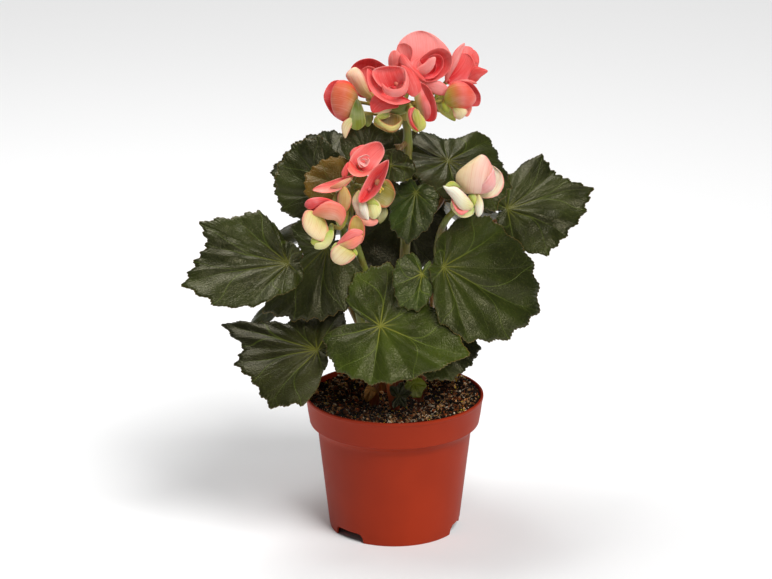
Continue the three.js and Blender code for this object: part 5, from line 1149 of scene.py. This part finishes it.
class Way:
    """A centripetal spline through points."""

    def __init__(self, points):
        self.points = [np.array(p, float) for p in points]

    def at(self, share):
        points = self.points
        last = len(points) - 1
        place = last * share
        k = min(int(place), last - 1)
        weight = place - k
        p1, p2 = points[k], points[k + 1]
        p0 = points[k - 1] if k > 0 else 2 * points[0] - points[1]
        p3 = points[k + 2] if k + 2 <= last else 2 * points[last] - points[last - 1]
        d0, d1, d2 = (max(np.linalg.norm(b - a), 1e-8) ** 0.5 for a, b in ((p0, p1), (p1, p2), (p2, p3)))
        t1 = ((p1 - p0) / d0 - (p2 - p0) / (d0 + d1) + (p2 - p1) / d1) * d1
        t2 = ((p2 - p1) / d1 - (p3 - p1) / (d1 + d2) + (p3 - p2) / d2) * d1
        c2 = -3 * p1 + 3 * p2 - 2 * t1 - t2
        c3 = 2 * p1 - 2 * p2 + t1 + t2
        return p1 + t1 * weight + c2 * weight**2 + c3 * weight**3

    def run(self, steps):
        return np.array([self.at(k / steps) for k in range(steps + 1)])


def bent_way(start, rise, end, arrival, steps):
    """A cubic curve that leaves along rise and meets its end along arrival."""
    reach = np.linalg.norm(end - start) * 0.35
    first, second = start + rise * reach, end - arrival * reach
    t = np.linspace(0, 1, steps + 1)[:, None]
    return (1 - t) ** 3 * start + 3 * (1 - t) ** 2 * t * first + 3 * (1 - t) * t**2 * second + t**3 * end


def tube(pile, points, radii, tints, sides):
    """A round stalk with rounded ends. radii and tints have one entry for each point."""
    points = np.asarray(points, float)
    ahead = unit(np.gradient(points, axis=0))
    side = np.array([1, 0.2, 0.1])
    turn = around(sides)[:, None]
    rings = []
    for point, way, radius in zip(points, ahead, radii):
        side = unit(side - way * (side @ way))
        rings.append(point + radius * (np.cos(turn) * side + np.sin(turn) * np.cross(way, side)))
    caps = [points[0] - ahead[0] * radii[0] * 0.5, points[-1] + ahead[-1] * radii[-1] * 0.5]
    full = np.concatenate([np.repeat(tints, sides, axis=0), tints[[0, -1]]])
    pile.put(np.concatenate([*rings, caps]), ring_faces(len(points), sides), tint=full)


def tint_along(tints, share):
    return mix(linear(tints[0]), linear(tints[1]), share)


def make_petiole(pile, way, leaf):
    """The stalk of a leaf, which ends just under the hub of its blade."""
    origin, _, face, _, _ = blade_frame(leaf)
    start = way.at(leaf.share)
    end = origin - face * PETIOLE_END
    neck = origin - face * PETIOLE_NECK
    if leaf.past:
        stalk = Way([start, *leaf.past, neck]).run(PAST_STEPS)
    else:
        rise = unit(unit(neck - start) + np.array([0, 0, 0.5]))
        stalk = bent_way(start, rise, neck, face, PETIOLE_STEPS)
    stalk = np.concatenate([stalk, [end]])
    t = np.linspace(0, 1, len(stalk))
    foot, top = PETIOLE_RADII
    radii = foot + (top - foot) * t + PETIOLE_SWELLING * smooth_step(t, 0.9, 1)
    tube(pile, stalk, radii, tint_along(PETIOLE_TINTS, t), STALK_SIDES)


def make_pedicel(pile, way, flower):
    """The stalk of a flower, which ends just under its heart."""
    right, up, front = flower.axis
    axis = unit(np.array([right, -front, up]))
    start = way.at(flower.share)
    heart = np.array(flower.at, float)
    neck = heart - axis * PEDICEL_NECK
    stalk = bent_way(start, unit(neck - start), neck, axis, PEDICEL_STEPS)
    stalk = np.concatenate([stalk, [heart - axis * PEDICEL_END]])
    t = np.linspace(0, 1, len(stalk))
    foot, top = PEDICEL_RADII
    radii = foot + (top - foot) * t + PEDICEL_SWELLING * smooth_step(t, 0.86, 1)
    tube(pile, stalk, radii, tint_along(PEDICEL_TINTS, smooth_step(t, 0.4, 1)), STALK_SIDES)


def make_shoot(shoot, material):
    """A stem with all the stalks that grow from it. It is a little thicker where they leave it."""
    pile = Pile()
    way = Way(shoot.path)
    share = np.linspace(0, 1, STEM_STEPS + 1)
    radii = shoot.foot_radius + (shoot.top_radius - shoot.foot_radius) * share
    leaves = [leaf for leaf in LEAVES if leaf.shoot == shoot.name]
    flowers = [flower for flower in FLOWERS if flower.shoot == shoot.name]
    for each in leaves + flowers[:2]:
        radii = radii + KNEE * np.exp(-(((share - each.share) / KNEE_LENGTH) ** 2))
    tube(pile, way.run(STEM_STEPS), radii, tint_along(STEM_TINTS, smooth_step(share, 0.12, 0.55)), STEM_SIDES)
    for leaf in leaves:
        make_petiole(pile, way, leaf)
    for flower in flowers:
        make_pedicel(pile, way, flower)
    pile.piece(shoot.name.replace("shoot_", "stalks_"), material, "stem", shoot.name)


# The pot

POT_HEIGHT, RIM_RADIUS, WALL = 101.6, 65, 1.3
COLLAR_FOOT, COLLAR_FOOT_RADIUS, COLLAR_TOP_RADIUS = 80.6, 62, 64.5
BODY_TOP_RADIUS, FOOT_RADIUS = 56.8, 47.6
SHOULDER = COLLAR_FOOT - 6
FLOOR_TOP, FLOOR_UNDER, FLOOR_MIDDLE = 6, 4.2, 20
NOTCH_ANGLES, NOTCH_WIDTH, NOTCH_HEIGHT, NOTCH_INNER = (-135, -15, 105), 34, 7, 38
POT_SIDES = 180
SHARP_ANGLE = 38


def body_radius(height):
    return FOOT_RADIUS + (BODY_TOP_RADIUS - FOOT_RADIUS) * height / COLLAR_FOOT


def corner(centre, radius, start, end, steps):
    """Points of a small rounded corner in the profile."""
    turn = [math.radians(start + (end - start) * k / steps) for k in range(steps + 1)]
    return [[centre[0] + radius * math.cos(t), centre[1] + radius * math.sin(t)] for t in turn]


def pot_profile():
    """Radius and height of the rings: from the floor's underside round the foot, up, over the rim and in."""
    inner_top, foot = COLLAR_TOP_RADIUS - WALL, FOOT_RADIUS - WALL
    profile = [[FLOOR_MIDDLE, FLOOR_UNDER], [body_radius(FLOOR_UNDER) - WALL, FLOOR_UNDER]]
    profile += [[foot, 0.2], [foot + 0.2, 0]]
    profile += corner((FOOT_RADIUS - 0.5, 0.5), 0.5, -90, -5, 4)
    profile += [[body_radius(height), height] for height in (4, 20, 40, 60, 72)]
    profile += [[body_radius(SHOULDER) + 0.1, SHOULDER], [body_radius(SHOULDER) + 0.9, SHOULDER + 1.6]]
    profile += [[COLLAR_FOOT_RADIUS - 3.2, COLLAR_FOOT - 2.1]]
    profile += corner((COLLAR_FOOT_RADIUS - 1.6, COLLAR_FOOT + 1.2), 1.6, -72, -3, 6)
    profile += [[63.2, 88.6], [COLLAR_TOP_RADIUS, 98.4]]
    profile += corner((RIM_RADIUS - 0.45, 99.6), 0.45, -60, 0, 3)
    profile += corner((RIM_RADIUS - 0.8, POT_HEIGHT - 0.8), 0.8, 0, 90, 5)
    profile += corner((inner_top + 0.5, POT_HEIGHT - 0.5), 0.5, 100, 180, 4)
    profile += [[COLLAR_FOOT_RADIUS - WALL, COLLAR_FOOT + 1], [body_radius(SHOULDER) - WALL, SHOULDER + 1]]
    profile += [[body_radius(40) - WALL, 40], [body_radius(FLOOR_TOP) - WALL, FLOOR_TOP + 0.6]]
    return profile + [[body_radius(FLOOR_TOP) - WALL - 0.8, FLOOR_TOP], [FLOOR_MIDDLE, FLOOR_TOP]]


def turned_rings(profile, sides):
    """The points of a turned shape, ring by ring, from pairs of radius and height."""
    turn = around(sides)
    rings = [[r * np.cos(turn), r * np.sin(turn), np.full(sides, height)] for r, height in profile]
    return np.stack(rings).transpose(0, 2, 1)


def notch_cutter(angle):
    """A wedge with rounded upper corners, that opens a drain notch in the foot."""
    half = math.tan(math.radians(NOTCH_WIDTH / 2))
    turn = math.radians(angle)
    out, side = np.array([math.cos(turn), math.sin(turn), 0]), np.array([-math.sin(turn), math.cos(turn), 0])
    outline = [(-1, -3), (1, -3), (1, 0), (0.94, 4.2), (0.82, 6.4), (0.68, NOTCH_HEIGHT)]
    outline += [(-x, z) for x, z in outline[:1:-1]]
    points = []
    for radius in (NOTCH_INNER, FOOT_RADIUS + 6):
        points += [(radius * (out + half * x * side) + [0, 0, z]) * MM for x, z in outline]
    count = len(outline)
    faces = [list(range(count))[::-1], list(range(count, 2 * count))]
    faces += [[k, (k + 1) % count, count + (k + 1) % count, count + k] for k in range(count)]
    mesh = bpy.data.meshes.new("cutter")
    mesh.from_pydata(points, [], faces)
    return add_object("cutter", mesh)


def make_pot(material):
    rings = turned_rings(pot_profile(), POT_SIDES)
    points = np.concatenate([rings.reshape(-1, 3), [[0, 0, FLOOR_UNDER], [0, 0, FLOOR_TOP]]])
    faces = [face for group in ring_faces(len(rings), POT_SIDES) for face in group.tolist()]
    mesh = bpy.data.meshes.new("planter")
    mesh.from_pydata((points * MM).tolist(), [], faces)
    pot = add_object("planter", mesh)
    cutters = [notch_cutter(angle) for angle in NOTCH_ANGLES]
    for cutter in cutters:
        cut = pot.modifiers.new("notch", "BOOLEAN")
        cut.operation, cut.solver, cut.object = "DIFFERENCE", "EXACT", cutter
    bpy.context.view_layer.update()
    whole = bpy.data.meshes.new_from_object(pot.evaluated_get(bpy.context.evaluated_depsgraph_get()))
    pot.modifiers.clear()
    pot.data = whole
    for cutter in cutters:
        bpy.data.objects.remove(cutter)
    whole.polygons.foreach_set("use_smooth", [True] * len(whole.polygons))
    whole.set_sharp_from_angle(angle=math.radians(SHARP_ANGLE))
    whole.materials.clear()
    whole.materials.append(material)
    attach(pot, "root")
    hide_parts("pot")


# The compost

SOIL_TOP, SOIL_RADIUS, GRAIN_RADIUS, FIBRE_RADIUS = 95.6, 62.6, 61.6, 58
SOIL_SIDES, SOIL_RINGS = 176, 60
SOIL_TINTS = {
    "dark": (20, 12, 6), "brown": (66, 36, 16), "bark": (124, 70, 32), "tan": (226, 168, 112),
    "pale": (252, 232, 200), "yellow": (232, 196, 64), "rust": (180, 92, 40),
}
GRAINS, HEAPED_GRAINS, FIBRES, FIBRE_POINTS, FIBRE_SIDES = 5200, 160, 1100, 6, 3
GRAIN_SHARES = [0.28, 0.2, 0.13, 0.14, 0.12, 0.06, 0.07]
HEAP_TINTS = ["tan", "pale", "yellow"]
FIBRE_TINTS, FIBRE_SHARES = ["brown", "bark", "tan", "pale", "rust"], [0.2, 0.3, 0.26, 0.1, 0.14]


def soil_height(x, y):
    """The uneven top: hollow about the stems on the left, and heaped against the wall."""
    wave = 1.5 * (0.7 * np.sin(x / 11 + 1) * np.cos(y / 9) + 0.3 * np.sin((x + y) / 5.3))
    radius = np.hypot(x, y)
    turn = np.arctan2(y, x)
    heap = smooth_step(radius, 30, 61) * (3 + 1.6 * np.cos(turn - 0.7))
    mound = 2.2 * np.exp(-(((x - 38) / 16) ** 2) - ((y - 30) / 16) ** 2)
    hollow = 3.2 * np.exp(-(((x + 24) / 13) ** 2) - ((y + 6) / 15) ** 2)
    fine = 0.8 * np.sin(x * 0.9 + 1.3 * np.sin(y * 0.7)) * np.cos(y * 1.1 + 1.7 * np.sin(x * 0.5))
    fine = fine + 0.5 * np.sin(x * 2.3 + 2 * np.sin(y * 1.3)) * np.sin(y * 2.1 + 1.2)
    return SOIL_TOP + wave + heap + mound - hollow + fine * smooth_step(63 - radius, 0, 4)


def make_soil(material):
    foot = FLOOR_TOP + 0.3
    wall = [(body_radius(6) - 2.2, foot), (body_radius(70) - 2.2, SOIL_TOP - 21), (59.8, SOIL_TOP - 12),
            (61.6, SOIL_TOP - 1.5)]
    flat = turned_rings([(SOIL_RADIUS * (1 - k / SOIL_RINGS), 0) for k in range(SOIL_RINGS)], SOIL_SIDES)
    flat[..., 2] = soil_height(flat[..., 0], flat[..., 1])
    flat[0, :, 2] -= 1.2
    rows = np.concatenate([turned_rings(wall, SOIL_SIDES), flat])
    points = np.concatenate([rows.reshape(-1, 3), [[0, 0, foot], [0, 0, float(soil_height(0, 0))]]])
    rng = np.random.default_rng(5)
    tint = linear(SOIL_TINTS["dark"]) * rng.uniform(0.4, 2.2, (len(points), 1))
    pile = Pile()
    pile.put(points, ring_faces(len(rows), SOIL_SIDES), tint=tint)
    pile.piece("compost", material, "soil", "soil")


def spin_matrix(rng):
    """A turn by a random angle about a random axis."""
    axis = unit(rng.normal(size=3))
    angle = rng.uniform(0, math.pi)
    k = np.array([[0, -axis[2], axis[1]], [axis[2], 0, -axis[0]], [-axis[1], axis[0], 0]])
    return np.eye(3) + math.sin(angle) * k + (1 - math.cos(angle)) * (k @ k)


def random_place(rng, widest):
    radius = widest * math.sqrt(rng.uniform())
    angle = rng.uniform(0, 2 * math.pi)
    return radius * math.cos(angle), radius * math.sin(angle)


def add_grain(pile, rng, heaped):
    """A grain or a bit of bark. The heaped ones are pale and lie together at the back right."""
    x, y = random_place(rng, GRAIN_RADIUS)
    name = rng.choice(list(SOIL_TINTS), p=GRAIN_SHARES)
    size = 0.3 + 1.5 * rng.uniform() ** 4
    if name in ("pale", "yellow"):
        size = 0.35 + 0.75 * rng.uniform() ** 2
    if heaped:
        x, y = rng.normal(36, 11), rng.normal(30, 8)
        name = rng.choice(HEAP_TINTS)
        size = rng.uniform(0.4, 1.0)
    if math.hypot(x, y) + size > SOIL_RADIUS:
        return
    patch = math.sin(x / 7 + 2 * math.sin(y / 9)) * math.sin(y / 6 + 1.5 * math.sin(x / 11) + 1)
    tint = linear(SOIL_TINTS[name]) * rng.uniform(0.7, 1.25) * (0.62 + 0.9 * smooth_step(patch, -0.5, 0.8))
    z = float(soil_height(x, y)) + size * rng.uniform(0, 0.8)
    radii = size * rng.uniform(0.5, 1.25, 3)
    points, faces = COARSE_BALL
    grown = points * (1 + rng.uniform(-0.3, 0.3, (len(points), 1))) * radii
    pile.put(grown @ spin_matrix(rng) + [x, y, z], [faces], tint=np.tile(tint, (len(points), 1)))


def add_fibre(pile, rng):
    """A thin bent fibre that lies on the compost."""
    x, y = random_place(rng, FIBRE_RADIUS)
    heading = rng.uniform(0, 2 * math.pi)
    length = rng.uniform(2, 8)
    t = np.linspace(0, 1, FIBRE_POINTS)
    way = heading + rng.uniform(-0.7, 0.7) * t
    x = x + np.cumsum(np.cos(way)) * length / FIBRE_POINTS
    y = y + np.cumsum(np.sin(way)) * length / FIBRE_POINTS
    if np.hypot(x, y).max() > 61.5:
        return
    z = soil_height(x, y) + 0.4 + np.sin(t * math.pi) * rng.uniform(0, 1.6)
    width = rng.uniform(0.12, 0.32)
    tint = linear(SOIL_TINTS[rng.choice(FIBRE_TINTS, p=FIBRE_SHARES)])
    points = np.stack([x, y, z], axis=-1)
    tube(pile, points, np.full(FIBRE_POINTS, width), np.tile(tint, (FIBRE_POINTS, 1)), FIBRE_SIDES)


def make_crumbs(material):
    """Grains, bark bits and fibres that lie on the compost."""
    pile = Pile()
    rng = np.random.default_rng(11)
    for number in range(GRAINS):
        add_grain(pile, rng, number < HEAPED_GRAINS)
    for _ in range(FIBRES):
        add_fibre(pile, rng)
    pile.piece("crumbs", material, "soil")


# Floor and light


def area_light(name, size, power, location, target):
    data = bpy.data.lights.new(name, "AREA")
    data.shape = "RECTANGLE"
    data.size, data.size_y = size
    data.energy = power
    lamp = add_object(name, data)
    lamp.location = location
    lamp.rotation_euler = (Vector(target) - Vector(location)).to_track_quat("-Z", "Y").to_euler()
    return lamp


def make_floor():
    mesh = bpy.data.meshes.new("floor")
    mesh.from_pydata([(-30, -30, 0), (30, -30, 0), (30, 30, 0), (-30, 30, 0)], [], [(0, 1, 2, 3)])
    floor = add_object("floor", mesh)
    mesh.materials.append(Tree("floor").finish(Base_Color=(0.85, 0.85, 0.85, 1), Roughness=0.9))


def make_lights():
    """The sun gives even light without a shine, and the box of light above gives the leaves their sheen."""
    world = bpy.data.worlds.new("studio")
    bpy.context.scene.world = world
    world.use_nodes = True
    world.node_tree.nodes["Background"].inputs["Color"].default_value = (1, 1, 1, 1)
    world.node_tree.nodes["Background"].inputs["Strength"].default_value = 0.1
    sun = bpy.data.lights.new("daylight", "SUN")
    sun.energy, sun.angle = 3.1, math.radians(30)
    lamp = add_object("daylight", sun)
    lamp.rotation_euler = Vector((0.42, -0.62, 0.9)).to_track_quat("Z", "Y").to_euler()
    lamp.visible_glossy = False
    area_light("top", (1.1, 0.7), 14, (-0.35, 0.3, 1.45), (0, 0, 0.22))
    front = area_light("front", (0.9, 0.55), 15, (0.45, -1.5, 1.15), (0, 0, 0.22))
    front.visible_diffuse = False


soil_look = soil_material()
stem_look = stem_material()
leaf_look = leaf_material()
petal_look = petal_material()
make_pot(pot_material())
make_soil(soil_look)
make_crumbs(soil_look)
for shoot in SHOOTS:
    make_shoot(shoot, stem_look)
for number, leaf in enumerate(LEAVES):
    make_leaf(leaf, leaf_look, number)
for number, flower in enumerate(FLOWERS):
    make_flower(flower, petal_look, number)
make_floor()
make_lights()
bpy.context.scene.view_settings.view_transform = "Standard"
